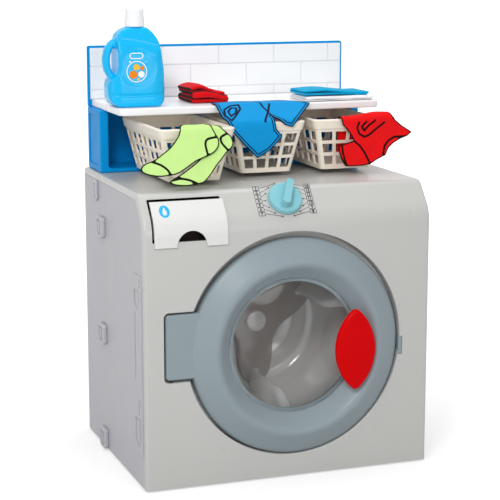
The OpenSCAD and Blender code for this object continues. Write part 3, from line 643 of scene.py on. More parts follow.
def grid_faces(rows: int, cols: int, across: bool = False,
        along: bool = False) -> list[tuple[int, int, int, int]]:
    """Faces between rows of points that are numbered row by row.

    Args:
        rows: Rows of points.
        cols: Points in a row.
        across: Whether a row's last point joins its first.
        along: Whether the last row joins the first.

    Returns:
        The faces, row by row.
    """
    faces = []
    for i in range(rows if along else rows - 1):
        for j in range(cols if across else cols - 1):
            a, b = i * cols, (i + 1) % rows * cols
            k = (j + 1) % cols
            faces.append((a + j, a + k, b + k, b + j))
    return faces


def prism(name: str, outline: Points, axis: Axis, start: float, end: float) -> Obj:
    """Extrude a closed outline along an axis.

    Args:
        name: The object's name.
        outline: The outline's points, (Y, Z) for X, (X, Z) for Y and (X, Y) for Z.
        axis: Direction of the extrusion.
        start: Where it starts along the axis.
        end: Where it ends.

    Returns:
        The closed prism.
    """
    obj = new_mesh(name, [axis.point(a, b, start) for a, b in outline],
        faces=[tuple(range(len(outline)))])
    edit_all()
    step = axis.point(0, 0, end - start) * MM
    bpy.ops.mesh.extrude_region_move(TRANSFORM_OT_translate={"value": step})
    return outward(obj)


def lathe(name: str, profile: Points, centre: Point3, axis: Axis = Axis.Y, steps: int = 96,
        closed: bool = True) -> Obj:
    """Spin a profile (radius, distance along the axis) round an axis through centre.

    Args:
        name: The object's name.
        profile: The profile's points; distances are in the toy's own frame.
        centre: A point on the axis.
        axis: The axis.
        steps: Steps in the full turn.
        closed: Whether the last point joins the first.

    Returns:
        The turned piece.
    """
    cx, cy, cz = centre
    place = {Axis.Y: lambda r, t: (cx + r, t, cz), Axis.Z: lambda r, t: (cx + r, cy, t), Axis.X: lambda r,
        t: (t, cy, cz + r)}[axis]
    verts = [place(r, t) for r, t in profile]
    edges = [(i, i + 1) for i in range(len(profile) - 1)]
    if closed:
        edges.append((len(profile) - 1, 0))
    obj = new_mesh(name, verts, edges)
    edit_all()
    direction = Vector([1.0 if i == axis.value else 0.0 for i in range(3)])
    bpy.ops.mesh.spin(steps=steps, angle=2 * pi, center=Vector(centre) * MM, axis=direction)
    bpy.ops.mesh.select_all(action="SELECT")
    # Points closer than two microns are the same point.
    bpy.ops.mesh.remove_doubles(threshold=2e-6)
    return outward(obj)


def apply(obj: Obj, kind: str, **settings: object) -> Obj:
    """Add a modifier with these settings and apply it.

    Args:
        obj: The object.
        kind: The modifier's type.
        settings: Its settings.

    Returns:
        The object.
    """
    pick(obj)
    made = obj.modifiers.new(kind.title(), kind)
    for key, value in settings.items():
        setattr(made, key, value)
    bpy.ops.object.modifier_apply(modifier=made.name)
    return obj


def bevel(obj: Obj, width: float, segments: int = 2, angle: float = 35.0) -> Obj:
    """Round every edge sharper than an angle."""
    return apply(obj, "BEVEL", width=width * MM, segments=segments, limit_method="ANGLE",
        angle_limit=radians(angle), use_clamp_overlap=True)


def boolean(obj: Obj, tool: Obj, how: str) -> Obj:
    """Cut, join or intersect with a tool, and remove the tool.

    Args:
        obj: The object.
        tool: The tool.
        how: DIFFERENCE, UNION or INTERSECT.

    Returns:
        The object.
    """
    apply(obj, "BOOLEAN", operation=how, object=tool, solver="EXACT")
    bpy.data.objects.remove(tool, do_unlink=True)
    return obj


def carve(obj: Obj, *tools: Obj) -> Obj:
    """Cut tools out of an object.

    Args:
        obj: The object.
        tools: The tools, which are used up.

    Returns:
        The object.
    """
    for tool in tools:
        boolean(obj, tool, "DIFFERENCE")
    return obj


def weld(obj: Obj, *tools: Obj) -> Obj:
    """Unite an object with tools into one closed body.

    Args:
        obj: The object.
        tools: The tools, which are used up.

    Returns:
        The object.
    """
    for tool in tools:
        boolean(obj, tool, "UNION")
    return obj


def gather(name: str, *objs: Obj) -> Obj:
    """Put separate shells into one object.

    Args:
        name: The new object's name.
        objs: The shells.

    Returns:
        The object.
    """
    pick(*objs)
    if len(objs) > 1:
        bpy.ops.object.join()
    obj = bpy.context.object
    obj.name = obj.data.name = name
    return obj


def smooth(obj: Obj, angle: float = 35.0) -> Obj:
    """Shade smooth up to an angle.

    Args:
        obj: The object.
        angle: The angle in degrees.

    Returns:
        The object.
    """
    pick(obj)
    bpy.ops.object.shade_smooth_by_angle(angle=radians(angle))
    return obj


def weighted(obj: Obj, angle: float = 35.0) -> Obj:
    """Shade smooth with large flat faces kept flat."""
    smooth(obj, angle)
    return apply(obj, "WEIGHTED_NORMAL", keep_sharp=True)


def move(obj: Obj, matrix: Matrix) -> Obj:
    """Carry a mesh from a local frame into the toy's frame.

    Args:
        obj: The object.
        matrix: From the local frame to the toy's, in metres.

    Returns:
        The object.
    """
    obj.data.transform(matrix)
    obj.data.update()
    return obj


def settle(obj: Obj, look: Look | bpy.types.Material, body: str, slot: str, *nodes: str) -> Obj:
    """Give a piece its finish and body, and let it stand for CAD nodes.

    Args:
        obj: The piece.
        look: Its finish, or a ready material.
        body: The body it rides on.
        slot: Not used.
        nodes: CAD nodes that it replaces.

    Returns:
        The piece.
    """
    material = PAINT.get(look) if isinstance(look, Look) else look
    obj.data.materials.clear()
    obj.data.materials.append(material)
    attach(obj, body)
    if nodes:
        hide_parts(*nodes)
    LOG.info("%s: %d faces", obj.name, len(obj.data.polygons))
    return obj


# ---- flat outlines that several builders draw


def arc(cx: float, cy: float, r: float, start: float, end: float, steps: int = 12) -> list[Point2]:
    """Points on an arc, from a start to an end angle in degrees."""
    angles = [radians(start + (end - start) * i / steps) for i in range(steps + 1)]
    return [(cx + r * cos(a), cy + r * sin(a)) for a in angles]


def rounded(x0: float, y0: float, x1: float, y1: float, r: float, steps: int = 6) -> list[Point2]:
    """A rectangle with round corners, counter-clockwise."""
    corners = ((x1 - r, y0 + r, -90), (x1 - r, y1 - r, 0), (x0 + r, y1 - r, 90), (x0 + r, y0 + r, 180))
    return [p for x, y, start in corners for p in arc(x, y, r, start, start + 90, steps)]


def pad(x: float, y: float, w: float, h: float, r: float) -> list[Point2]:
    """A rectangle with round corners about its centre."""
    return rounded(x - w / 2, y - h / 2, x + w / 2, y + h / 2, r)


def front_curve(inset: float) -> list[Point2]:
    """The cabinet's side outline from the front, up the control slope, to the deck.

    Args:
        inset: How far it lies inside the outer face; negative lies outside.

    Returns:
        (Y, Z) points from the front's fillet to the deck's fillet.
    """
    c = CABINET
    a = radians(c.slope_deg)
    deck, slope, front = (0, 1), (-sin(a), cos(a)), (-1, 0)
    top = (c.front + c.slope_run, c.deck)
    foot = (c.front, c.deck - c.slope_run * tan(a))

    def centre(v: Point2, n1: Point2, n2: Point2, k: float) -> Point2:
        """Centre of the fillet at a corner between two faces with these outward normals."""
        s = k / (1 + n1[0] * n2[0] + n1[1] * n2[1])
        return (v[0] - s * (n1[0] + n2[0]), v[1] - s * (n1[1] + n2[1]))

    dc = centre(top, deck, slope, c.deck_fillet)
    fc = centre(foot, slope, front, c.front_fillet)
    lean = 90 + c.slope_deg
    return (arc(*fc, c.front_fillet - inset, 180, lean, 10)
        + arc(*dc, c.deck_fillet - inset, lean, 90, 12))


def case_outline(inset: float, rear: float, low: float) -> list[Point2]:
    """The cabinet's closed side outline, set in, up to a rear plane and down to a low one."""
    curve = front_curve(inset)
    return [(CABINET.front + inset, low), *curve, (rear, CABINET.deck - inset), (rear, low)]


# ---- cabinet


@dataclass(frozen=True)
class CabinetBuilder:
    """Front moulding, side panels and clips."""

    c: CabinetSize = CABINET
    d: DoorSize = DOOR
    w: DrawerSize = DRAWER

    def build(self) -> None:
        """Make every piece of the cabinet."""
        self._front()
        for side, name in ((-1, "left"), (1, "right")):
            self._side(side, name)
            self._clips(side, name)
        catch = box("catch_nub", (155.5, self.c.front, 155), (161.4, self.c.front + 10, 180), 1.4, 4)
        settle(weighted(catch, 40), Look.RING, "cabinet", "ring_grey", "latch_catch")

    def _front(self) -> None:
        """The front, slope and deck in one shell, with the recess, the openings and the bore."""
        c, d, w = self.c, self.d, self.w
        body = prism("front_moulding", case_outline(0, c.rear + 30, c.base - 30), Axis.X, -c.half_w,
            c.half_w)
        bevel(body, c.edge, 5, 60)
        inner = prism("inner", case_outline(c.wall, c.rear + 60, c.base - 60), Axis.X, -c.half_w + c.wall,
            c.half_w - c.wall)
        sides = prism("sides", case_outline(c.flange, c.rear + 60, c.base - 60), Axis.X, -c.half_w - 5,
            c.half_w + 5)
        rear = box("rear", (-220, c.rear, -60), (220, c.rear + 80, 420))
        under = box("under", (-220, -170, -60), (220, c.rear + 80, c.base))
        carve(body, inner, sides, rear, under)
        pan = rod("pan", (d.x, c.front + 1, d.z), (d.x, d.pan_y, d.z), d.recess_r + 6, sides=128)
        half = d.pocket_h / 2
        pocket = box("pocket_wall", (d.pocket_x - c.wall, c.front + 1, d.hinge_z - half - c.wall),
            (d.x, d.pocket_y + c.wall, d.hinge_z + half + c.wall))
        weld(body, pan, pocket)
        carve(body, self._recess(), self._pocket())
        carve(body, rod("way", (d.x, c.front - 5, d.z), (d.x, d.pan_y + 5, d.z), d.seal_r, sides=96))
        # The drawer's front laps over the opening's lower and right edges.
        carve(body, box("opening", (w.x - w.w / 2 - 2.4, c.front - 5, w.low + 6.5),
            (w.x + w.w / 2 - 2.2, c.front + c.slope_run + 1, w.high + 2.6), 1.5, 3))
        carve(body, box("latch_slot", (135, c.front + 5, 168.5), (147, d.pan_y + 5, 187.5)),
            box("catch_seat", (155.5, c.front - 5, 155), (161.5, c.front + 10, 180)))
        carve(body, self._knob_bore())
        settle(weighted(bevel(body, 0.7, 2, 50), 40), Look.FRONT, "cabinet", "front_grey", "front_panel")

    def _recess(self) -> Obj:
        """The door recess as a tool whose mouth flares into a rolled lip.

        Returns:
            The tool.
        """
        d, front = self.d, self.c.front
        lip = 1.6
        curve = arc(d.recess_r + lip, front + lip, lip, 180, 270, 6)
        profile = [(0.0, d.recess_y), (d.recess_r - 3, d.recess_y), (d.recess_r - 0.9, d.recess_y - 0.9),
            (d.recess_r, d.recess_y - 3), *curve, (d.recess_r + lip, front - 4), (0.0, front - 4)]
        return lathe("recess", profile, (d.x + d.recess_dx, 0, d.z + d.recess_dz), steps=128)

    def _pocket(self) -> Obj:
        """The hinge pocket as a tool with round corners, and room for the pin's ends.

        Returns:
            The tool.
        """
        d, front = self.d, self.c.front
        half = d.pocket_h / 2
        outline = [(d.x - 118, d.hinge_z - half), (d.x - 118, d.hinge_z + half)]
        outline += arc(d.pocket_x + 7, d.hinge_z + half - 7, 7, 90, 180, 6)
        outline += arc(d.pocket_x + 7, d.hinge_z - half + 7, 7, 180, 270, 6)
        return prism("pocket", outline, Axis.Y, front - 5, d.pocket_y)

    def _knob_bore(self) -> Obj:
        """The bore for the knob's shaft, square to the slope."""
        bore = rod("bore", (0, 0, -6), (0, 0, 6), 4.1, sides=32)
        return move(bore, slope_frame(KNOB.x, KNOB.drop))

    def _side(self, side: int, name: str) -> None:
        """A side panel: outer skin, inner skin and a raised band along the front.

        Args:
            side: -1 for the left side and 1 for the right.
            name: Name of the side.
        """
        c = self.c
        x_out, x_in = side * c.half_w, side * (c.half_w - c.wall)
        gap = 0.3
        panel = prism(f"{name}_panel", case_outline(c.flange + gap, c.rear, c.base), Axis.X,
            *sorted((x_out, x_in)))
        bevel(panel, 0.9, 3, 50)
        weld(panel, prism("skin", case_outline(c.flange - 4, c.rear - c.wall, c.base + 0.2), Axis.X,
            *sorted((x_in, x_in - side * 2))))
        # The band carries moulded hook seats at both ends.
        band = prism("band", [(-140, 46), (-103, 46), (-101, 48), (-101, 282), (-103, 284), (-140, 284)],
            Axis.X, *sorted((x_in, x_out + side * 1.8)))
        bevel(band, 1.0, 3, 50)
        weld(panel, band)
        self._seats(panel, side)
        settle(weighted(bevel(panel, 0.5, 2, 60), 40), Look.SIDE, "cabinet", "side_grey",
            f"{name}_side_panel")

    def _seats(self, panel: Obj, side: int) -> None:
        """Sunken tongues, slots and dimples on a side panel's band.

        Args:
            panel: The side panel.
            side: -1 for the left side and 1 for the right.
        """
        x = side * (self.c.half_w + 1.8)
        deep, far = x - side * 1.3, x + side * 2

        def sunk(outline: Points) -> Obj:
            """A tool that sinks an outline into the band."""
            return prism("sunk", outline, Axis.X, *sorted((deep, far)))

        tongues = [[(-131, 264), *arc(-119.5, 250, 11.5, 180, 360, 14), (-108, 264)],
            [(-137, 94), *arc(-122.5, 70, 14.5, 180, 360, 14), (-108, 94)]]
        for outline in tongues:
            carve(panel, sunk(outline))
            low = min(z for _, z in outline)
            high = max(z for _, z in outline)
            lug = prism("lug", rounded(-127, low + 5, -116, high - 2, 3), Axis.X,
                *sorted((deep - side * 0.5, x - side * 0.2)))
            bevel(lug, 0.6, 2, 50)
            weld(panel, lug)
        for y, z, w, h in ((-132.5, 277.4, 3.6, 4.4), (-132.5, 270, 3.6, 4.4), (-127, 109, 3.6, 22),
                (-134, 114, 3.6, 5), (-112, 188, 4, 92)):
            carve(panel, sunk(pad(y, z, w, h, 1.6)))

    def _clips(self, side: int, name: str) -> None:
        """Four clips, each a rounded cover with a raised frame, a slot and a peg.

        Args:
            side: -1 for the left side and 1 for the right.
            name: Name of the side.
        """
        x = side * self.c.half_w
        made = [self._clip(x, side, 52, z, 28, 28, 6) for z in (17, 167.5, 318)]
        made.append(self._clip(x, side, 80, 365, 14, 28, 4))
        settle(weighted(gather(f"{name}_clip_set", *made), 40), Look.TRIM, "cabinet", "trim_grey",
            f"{name}_clips")

    def _clip(self, x: float, side: int, y: float, z: float, l: float, h: float, proud: float) -> Obj:
        """One clip with its dish, slot, rib and peg.

        Args:
            x: The side's outer face.
            side: -1 for the left side and 1 for the right.
            y: Middle along Y.
            z: Middle along Z.
            l: Length along Y.
            h: Height.
            proud: How far it stands out.

        Returns:
            The clip.
        """
        low, high = sorted((x, x + side * proud))
        cover = prism("clip", pad(y, z, l, h, 4), Axis.X, low, high)
        bevel(cover, 1.6, 4, 60)
        carve(cover, prism("dish", pad(y, z, l - 6.4, h - 6.4, 2.5), Axis.X, x + side * (proud - 2.4),
            x + side * (proud + 3)))
        carve(cover, box("slot", (x + side, y - l * 0.3, z - h / 4),
            (x + side * 9, y - l * 0.12, z + h / 4)))
        weld(cover, box("rib", (x + side, y + l * 0.02, z - h / 4),
            (x + side * (proud - 0.2), y + l * 0.18, z + h / 4), 0.4))
        weld(cover, box("peg", (x, y - 4, z - 4), (x - side * 5, y + 4, z + 4)))
        return bevel(cover, 0.4, 2, 50)


def slope_frame(x: float, drop: float) -> Matrix:
    """Matrix from the control slope's own frame (across, up the slope, outwards) to the toy's.

    Args:
        x: Sideways place of the frame's origin.
        drop: Its distance down the slope from the slope's top.

    Returns:
        The matrix, in metres.
    """
    a = radians(CABINET.slope_deg)
    y = CABINET.front + CABINET.slope_run - drop * cos(a)
    z = CABINET.deck - drop * sin(a)
    return (Matrix.Translation(Vector((x, y, z)) * MM) @ Matrix.Rotation(a, 4, "X"))


# ---- door


@dataclass(frozen=True)
class DoorBuilder:
    """Door ring with its hinge block, window and handle."""

    d: DoorSize = DOOR
    centre: Point3 = (DOOR.x, 0.0, DOOR.z)

    def build(self) -> None:
        """Make every piece of the door."""
        self._ring()
        self._window()
        self._handle()

    def _ring(self) -> None:
        """The ring, turned from its section, with the hinge block."""
        d = self.d
        top, back = d.crest_y, d.back_y
        # Rolled outer lip, sloping outer flank, rounded crest and a steep inner flank.
        profile = [(145.8, back - 0.3), (145.8, top + 19.2), (145.1, top + 17.1), (143.2, top + 15.2),
            (139.5, top + 12.8), (134.0, top + 9.6), (128.5, top + 6.4), (123.4, top + 3.4),
            (120.2, top + 1.6), (117.4, top + 0.5), (114.6, top), (111.8, top + 0.4), (109.2, top + 1.8),
            (106.6, top + 4.2), (103.4, top + 7.8), (99.8, top + 12.2), (96.4, top + 16.4),
            (93.8, top + 20.2), (92.0, top + 23.8), (91.1, back), (94.4, back), (95.2, top + 23.4),
            (101.2, top + 14.9), (109.6, top + 5.6), (114.8, top + 3.6), (123.5, top + 6.9),
            (142.8, top + 19.4), (142.8, back - 0.3)]
        ring = lathe("door_ring_shell", profile, self.centre, steps=160)
        weld(ring, self._hinge_block())
        settle(weighted(bevel(ring, 1.2, 3, 40), 30), Look.RING, "door", "ring_grey", "door_ring")

    def _hinge_block(self) -> Obj:
        """The flat block that joins the ring to its hinge barrel.

        Returns:
            The block.
        """
        d = self.d
        half = d.hinge_h / 2
        low, high = d.hinge_z - half, d.hinge_z + half
        left = d.hinge_x - d.barrel_r
        outline = [(d.x - 112, low), (d.x - 112, high)]
        outline += arc(left + 5, high - 5, 5, 90, 180, 6)
        outline += arc(left + 5, low + 5, 5, 180, 270, 6)
        front = d.hinge_y - 3.4
        block = prism("block", outline, Axis.Y, front, d.hinge_y + d.barrel_r)
        bevel(block, 2.5, 4, 60)
        carve(block, rod("clear", (d.x, -200, d.z), (d.x, -100, d.z), d.window_r + 20, sides=96))
        return block

    def _window(self) -> None:
        """A domed clear window with a flat flange under the ring."""
        d = self.d
        flat, rim, dome, rise, t = d.back_y, 90.8, 90.0, 8, 2.0
        # Radius of the sphere that the dome is cut from.
        radius = (dome * dome + rise * rise) / (2 * rise)
        steps = 24
        points = []
        for i in range(steps + 1):
            r = dome * (1 - i / steps)
            y = flat - t - (sqrt(radius ** 2 - r * r) - (radius - rise))
            points.append((r, y))
        back = [(r, y + t) for r, y in reversed(points)]
        profile = [(rim, flat), (rim, flat - t), *points, *back]
        window = lathe("clear_dome", profile, self.centre, steps=128)
        settle(smooth(window, 40), PAINT.clear_window(), "door", "clear_window", "door_window")

    def _handle(self) -> None:
        """A lens-shaped handle, crowned at the front and undercut behind for fingers."""
        d = self.d
        h, w = d.handle_h / 2, d.handle_w / 2
        r = (h * h + w * w) / (2 * w)
        # The two arcs end in small round tips.
        tip = 7.5
        high = sqrt((r - tip) ** 2 - (r - w) ** 2)
        span = degrees(acos((r - w) / (r - tip)))
        outline = arc(d.handle_x - (r - w), d.handle_z, r, -span, span, 28)
        outline += arc(d.handle_x, d.handle_z + high, tip, span, 180 - span, 8)[1:]
        outline += arc(d.handle_x + (r - w), d.handle_z, r, 180 - span, 180 + span, 28)[1:]
        outline += arc(d.handle_x, d.handle_z - high, tip, 180 + span, 360 - span, 8)[1:-1]
        front, back = -170.8, -159.4
        plate = prism("handle_shell", outline, Axis.Y, back, front)
        bevel(plate, 3.2, 6, 50)
        self._crown(plate, front, back)
        for z in (-34, 34):
            weld(plate, rod("post", (d.handle_x + 13, back - 2, d.handle_z + z),
                (d.handle_x + 13, back + 13, d.handle_z + z), 6, sides=40))
        settle(smooth(plate, 60), Look.HANDLE, "door", "handle_red", "door_handle")

    def _crown(self, plate: Obj, front: float, back: float) -> None:
        """Press the handle's flanks back, so that its face is a soft crown.

        Args:
            plate: The handle's plate.
            front: Its front plane.
            back: Its back plane.
        """
        d = self.d
        mesh = plate.data
        for v in mesh.vertices:
            x, y, z = (c / MM for c in v.co)
            off = abs(x - d.handle_x) / (d.handle_w / 2)
            along = abs(z - d.handle_z) / (d.handle_h / 2)
            depth = (back - y) / (back - front)
            v.co.y += (1.5 * off ** 2 + 2.5 * along ** 2) * max(0.0, depth) * MM
        mesh.update()


# ---- drum


@dataclass(frozen=True)
class DrumBuilder:
    """Drum shell with moulded ribs, its rear plate, three paddles and the hub's cap."""

    s: DrumSize = DRUM
    centre: Point3 = (DOOR.x, 0.0, DOOR.z)

    def build(self) -> None:
        """Make every piece of the drum."""
        self._shell()
        self._star()
        self._paddles()
        self._cap()

    def _shell(self) -> None:
        """The drum's bowl with three wall ribs, two rear rings and the hub."""
        s = self.s
        inner_r = s.outer_r - 3
        f = s.fillet
        inside = [(s.mouth_r, s.front), (s.mouth_r, s.front + 3), (inner_r - 2, s.front + 4.5),
            (inner_r, s.front + 8)]
        for k in range(1, 4):
            y = s.front + 8 + k * 8
            inside += [(inner_r, y - 2), (inner_r - 0.5, y - 0.8), (inner_r - 0.5, y + 0.8),
                (inner_r, y + 2)]
        inside += arc(inner_r - f, s.inside - f, f, 0, 90, 12)
        inside += [(64, s.inside), (61, s.inside - 1.6), (57, s.inside - 1.6), (54, s.inside),
            (34, s.inside), (31, s.inside - 2.2), (20, s.inside - 2.2), (17, s.inside), (5.0, s.inside)]
        outside = [(5.0, s.back), (s.outer_r - f, s.back), *arc(s.outer_r - f, s.back - f, f, 90, 0, 12),
            (s.outer_r, s.front + 4), (s.outer_r - 3, s.front)]
        shell = lathe("drum_bowl", inside + outside, self.centre, steps=128)
        weld(shell,
            lathe("hub", [(5.0, s.back - 0.5), (5.0, s.back + 8), (14, s.back + 8), (14, s.back - 0.5)],
            self.centre, steps=64))
        settle(smooth(bevel(shell, 0.8, 2, 30), 50), Look.DRUM, "drum", "drum_grey", "drum_shell")

    def _star(self) -> None:
        """A raised three-armed plate on the rear wall; its arms run into the paddles."""
        s = self.s
        corners, hub_r, arm = 144, 38, 56
        outline = []
        for i in range(corners):
            a = 2 * pi * i / corners
            lobe = (1 + cos(s.paddles * (a + radians(s.turn_deg)))) / 2
            r = hub_r + arm * lobe ** 2
            outline.append((self.centre[0] + r * cos(a), self.centre[2] + r * sin(a)))
        star = prism("drum_plate", outline, Axis.Y, s.inside - 11, s.inside + 1.5)
        bevel(star, 4.5, 5, 40)
        carve(star, rod("bore", (self.centre[0], s.inside - 20, self.centre[2]),
            (self.centre[0], s.inside + 9, self.centre[2]), 5.0))
        # The plate's darker grey is painted shade; it is the drum's own grey styrene.
        settle(smooth(star, 50), Look.PLATE, "drum", "drum_grey")

    def _paddles(self) -> None:
        """Rounded paddles that rise from the wall and run out on the rear wall."""
        s = self.s
        step = 360 // s.paddles
        made = [self._paddle(radians(s.turn_deg + step * i)) for i in range(s.paddles)]
        settle(smooth(gather("drum_paddle_set", *made), 60), Look.DRUM, "drum", "drum_grey",
            "drum_paddles")

    def _paddle(self, angle: float) -> Obj:
        """One paddle: a dome that rises from the wall and runs out to the rear.

        Args:
            angle: Its place round the drum.

        Returns:
            The paddle.
        """
        s = self.s
        rows, across = 26, 12
        verts = []
        y0, y1 = s.front + 7, s.inside - 4
        for i in range(rows + 1):
            t = i / rows
            y = y0 + (y1 - y0) * t
            rise = 26 * min(1.0, sin(min(1.0, t * 3.2) * pi / 2)) ** 0.8 + 0.4
            wall = s.outer_r - 3 - max(0.0, y - (s.inside - s.fillet)) ** 2 / (2 * s.fillet)
            half = 11 - 1.5 * t
            for j in range(across + 1):
                u = j / across * 2 - 1
                dome = (1 - abs(u) ** 3.2) * rise
                verts.append((wall + 0.3 - dome, y, half * u))
        obj = new_mesh("paddle", verts, faces=grid_faces(rows + 1, across + 1))
        apply(obj, "SOLIDIFY", thickness=1.6 * MM, offset=0.0)
        apply(obj, "SUBSURF", levels=1, render_levels=1)
        place = (Matrix.Translation(Vector((self.centre[0], 0, self.centre[2])) * MM)
            @ Matrix.Rotation(angle, 4, "Y"))
        return move(obj, place)

    def _cap(self) -> None:
        """The hub's round cap."""
        s = self.s
        profile = [(0.0, s.inside - 14.5), (11, s.inside - 14.5), (13.6, s.inside - 13.8),
            (15.1, s.inside - 12.4), (15.6, s.inside - 10.8), (15.6, s.inside - 7), (5.0, s.inside - 7),
            (5.0, s.inside - 9), (0.0, s.inside - 9)]
        cap = lathe("hub_button", profile, self.centre, steps=64)
        settle(smooth(bevel(cap, 0.4, 2, 30), 40), Look.DRUM, "drum", "drum_grey", "drum_hub_cap")


# ---- controls


@dataclass(frozen=True)
class ControlBuilder:
    """Programme knob, dial marks and the detergent drawer."""

    w: DrawerSize = DRAWER
    slope: Matrix = field(default_factory=lambda: slope_frame(KNOB.x, KNOB.drop))

    def build(self) -> None:
        """Make every piece of the controls."""
        self._knob()
        self._dial()
        self._drawer()

    def _knob(self) -> None:
        """A round disc with a tapered grip bar across it."""
        disc = lathe("knob_disc", [(0, 0.4), (21.5, 0.4), (23, 1.2), (23, 4.5), (21.8, 7),
            (19.6, 8), (0, 8)], (0, 0, 0), Axis.Z, 96)
        grip = prism("grip", rounded(-6, -17.5, 6, 21.8, 4.2), Axis.Z, 6.0, 20.3)
        bpy.ops.object.mode_set(mode="EDIT")
        bpy.ops.mesh.select_all(action="DESELECT")
        edit = bmesh.from_edit_mesh(grip.data)
        for v in edit.verts:
            v.select_set(v.co.z > 15 * MM)
        edit.select_flush(True)
        bmesh.update_edit_mesh(grip.data)
        bpy.ops.transform.resize(value=(0.8, 0.96, 1), center_override=(0, 0, 0))
        bpy.ops.object.mode_set(mode="OBJECT")
        weld(disc, grip)
        carve(disc, box("pointer", (-0.9, 12, 19.7), (0.9, 20.4, 20.9)))
        bevel(disc, 1.5, 4, 38)
        move(disc, self.slope @ Matrix.Rotation(radians(KNOB.grip_deg), 4, "Z"))
        settle(weighted(disc, 40), Look.KNOB, "knob_unit", "knob_aqua", "knob")

    def _dial(self) -> None:
        """Printed programme marks: two columns of framed numbers, each traced to a dot."""
        made: list[Obj] = []
        rows, dot_r = 7, 26.2
        for side in (-1, 1):
            for i in range(rows):
                v = 19.2 - 6.5 * i
                number = i + 1 if side < 0 else 2 * rows - i
                made += self._number(str(number), side * 35.6, v)
                a = radians(72 - 24 * i)
                dot = (side * dot_r * cos(a), dot_r * sin(a))
                made.append(rod("dot", (*dot, -0.2), (*dot, 0.12), 1.0, sides=16))
                made.append(self._trace((side * 31.2, v), (side * 28.4, v), dot))
        marks = gather("dial_print", *made)
        move(marks, self.slope)
        settle(marks, Look.INK, "cabinet", "front_grey")

    def _trace(self, start: Point2, bend: Point2, end: Point2) -> Obj:
        """A thin printed line that bends from a number to its dot.

        Args:
            start: Its start at the number.
            bend: The point it bends towards.
            end: The dot.

        Returns:
            The line.
        """
        line = []
        for i in range(13):
            t = i / 12
            line.append(tuple((1 - t) ** 2 * a + 2 * t * (1 - t) * b + t * t * c
                for a, b, c in zip(start, bend, end)))
        return self._strip(line, 0.5, False)

    @staticmethod
    def _strip(line: Points, width: float, closed: bool) -> Obj:
        """A flat strip of ink along a line.

        Args:
            line: Its middle line on the slope.
            width: Its width.
            closed: Whether the line is a loop.

        Returns:
            The strip.
        """
        n = len(line)
        verts = []
        for i, (x, y) in enumerate(line):
            a = line[(i - 1) % n] if closed or i else line[0]
            b = line[(i + 1) % n] if closed or i < n - 1 else line[-1]
            way = Vector((b[0] - a[0], b[1] - a[1])).normalized() * width / 2
            verts += [(x - way.y, y + way.x, 0.06), (x + way.y, y - way.x, 0.06)]
        last = n if closed else n - 1
        faces = [(2 * i, 2 * i + 1, 2 * ((i + 1) % n) + 1, 2 * ((i + 1) % n)) for i in range(last)]
        strip = new_mesh("strip", verts, faces=faces)
        return apply(strip, "SOLIDIFY", thickness=0.15 * MM, offset=0.0)

    def _number(self, text: str, x: float, v: float) -> list[Obj]:
        """A bold printed number in a thin frame.

        Args:
            text: The number.
            x: Its middle across the slope.
            v: Its middle up the slope.

        Returns:
            The number and its frame.
        """
        deselect()
        bpy.ops.object.text_add(location=(0, 0, 0))
        obj = bpy.context.object
        obj.data.body = text
        obj.data.size = 5.6 * MM
        obj.data.offset = 0.18 * MM
        obj.data.align_x, obj.data.align_y = "CENTER", "CENTER"
        obj.data.extrude = 0.08 * MM
        obj.data.resolution_u = 3
        bpy.ops.object.convert(target="MESH")
        number = bpy.context.object
        number.data.transform(Matrix.Translation(Vector((x, v, 0.06)) * MM))
        frame_line = self._strip(rounded(x - 4.3, v - 2.8, x + 4.3, v + 2.8, 1.2, 3), 0.55, True)
        return [number, frame_line]

    def _drawer(self) -> None:
        """The drawer's front, which follows the cabinet's curve, and all that rides on it."""
        w = self.w
        outer = self._dense(-w.proud)
        inner = self._dense(-w.proud + w.thick)
        front = prism("drawer_shell", outer + inner[::-1], Axis.X, w.x - w.w / 2, w.x + w.w / 2)
        carve(front, rod("arch", (w.arch_x, -170, w.arch_z), (w.arch_x, -110, w.arch_z), w.arch_r,
            sides=72))
        settle(weighted(bevel(front, 1.15, 4, 40), 35), Look.DRAWER, "drawer", "drawer_white",
            "drawer_front")
        self._hollow()
        self._tray()
        self._mark()

    def _hollow(self) -> None:
        """A dark shell behind the finger arch, painted shade for the pocket there."""
        w = self.w
        curve = arc(w.arch_x, w.arch_z + 0.5, w.arch_r + 1.5, 0, 180, 32)
        shell = prism("finger_hollow_shade", curve, Axis.Y, -149.0, -134.5)
        carve(shell, prism("room", arc(w.arch_x, w.arch_z - 1, w.arch_r + 1, 0, 180, 32), Axis.Y, -152.0,
            -136.5))
        settle(weighted(bevel(shell, 0.4, 2, 40), 40), Look.SHADOW, "drawer", "drawer_white")

    def _dense(self, inset: float) -> list[Point2]:
        """The drawer front's side curve between its two edges, cut at their heights.

        Args:
            inset: How far it lies inside the cabinet's face.

        Returns:
            (Y, Z) points from the lower edge to the upper one.
        """
        w = self.w
        curve = [(CABINET.front + inset, 300.0), *front_curve(inset)]
        out: list[Point2] = []
        for (y0, z0), (y1, z1) in zip(curve, curve[1:]):
            steps = max(1, int((z1 - z0) / 3))
            for k in range(steps):
                t = k / steps
                out.append((y0 + (y1 - y0) * t, z0 + (z1 - z0) * t))
        inside = [p for p in out if w.low < p[1] < w.high]

        def at(z: float) -> Point2:
            """The curve's point at a height.

            Args:
                z: The height.

            Returns:
                The point.
            """
            for (y0, z0), (y1, z1) in zip(curve, curve[1:]):
                if z0 <= z <= z1 and z1 > z0:
                    return (y0 + (y1 - y0) * (z - z0) / (z1 - z0), z)
            return (curve[-1][0], z)

        return [at(w.low), *inside, at(w.high)]

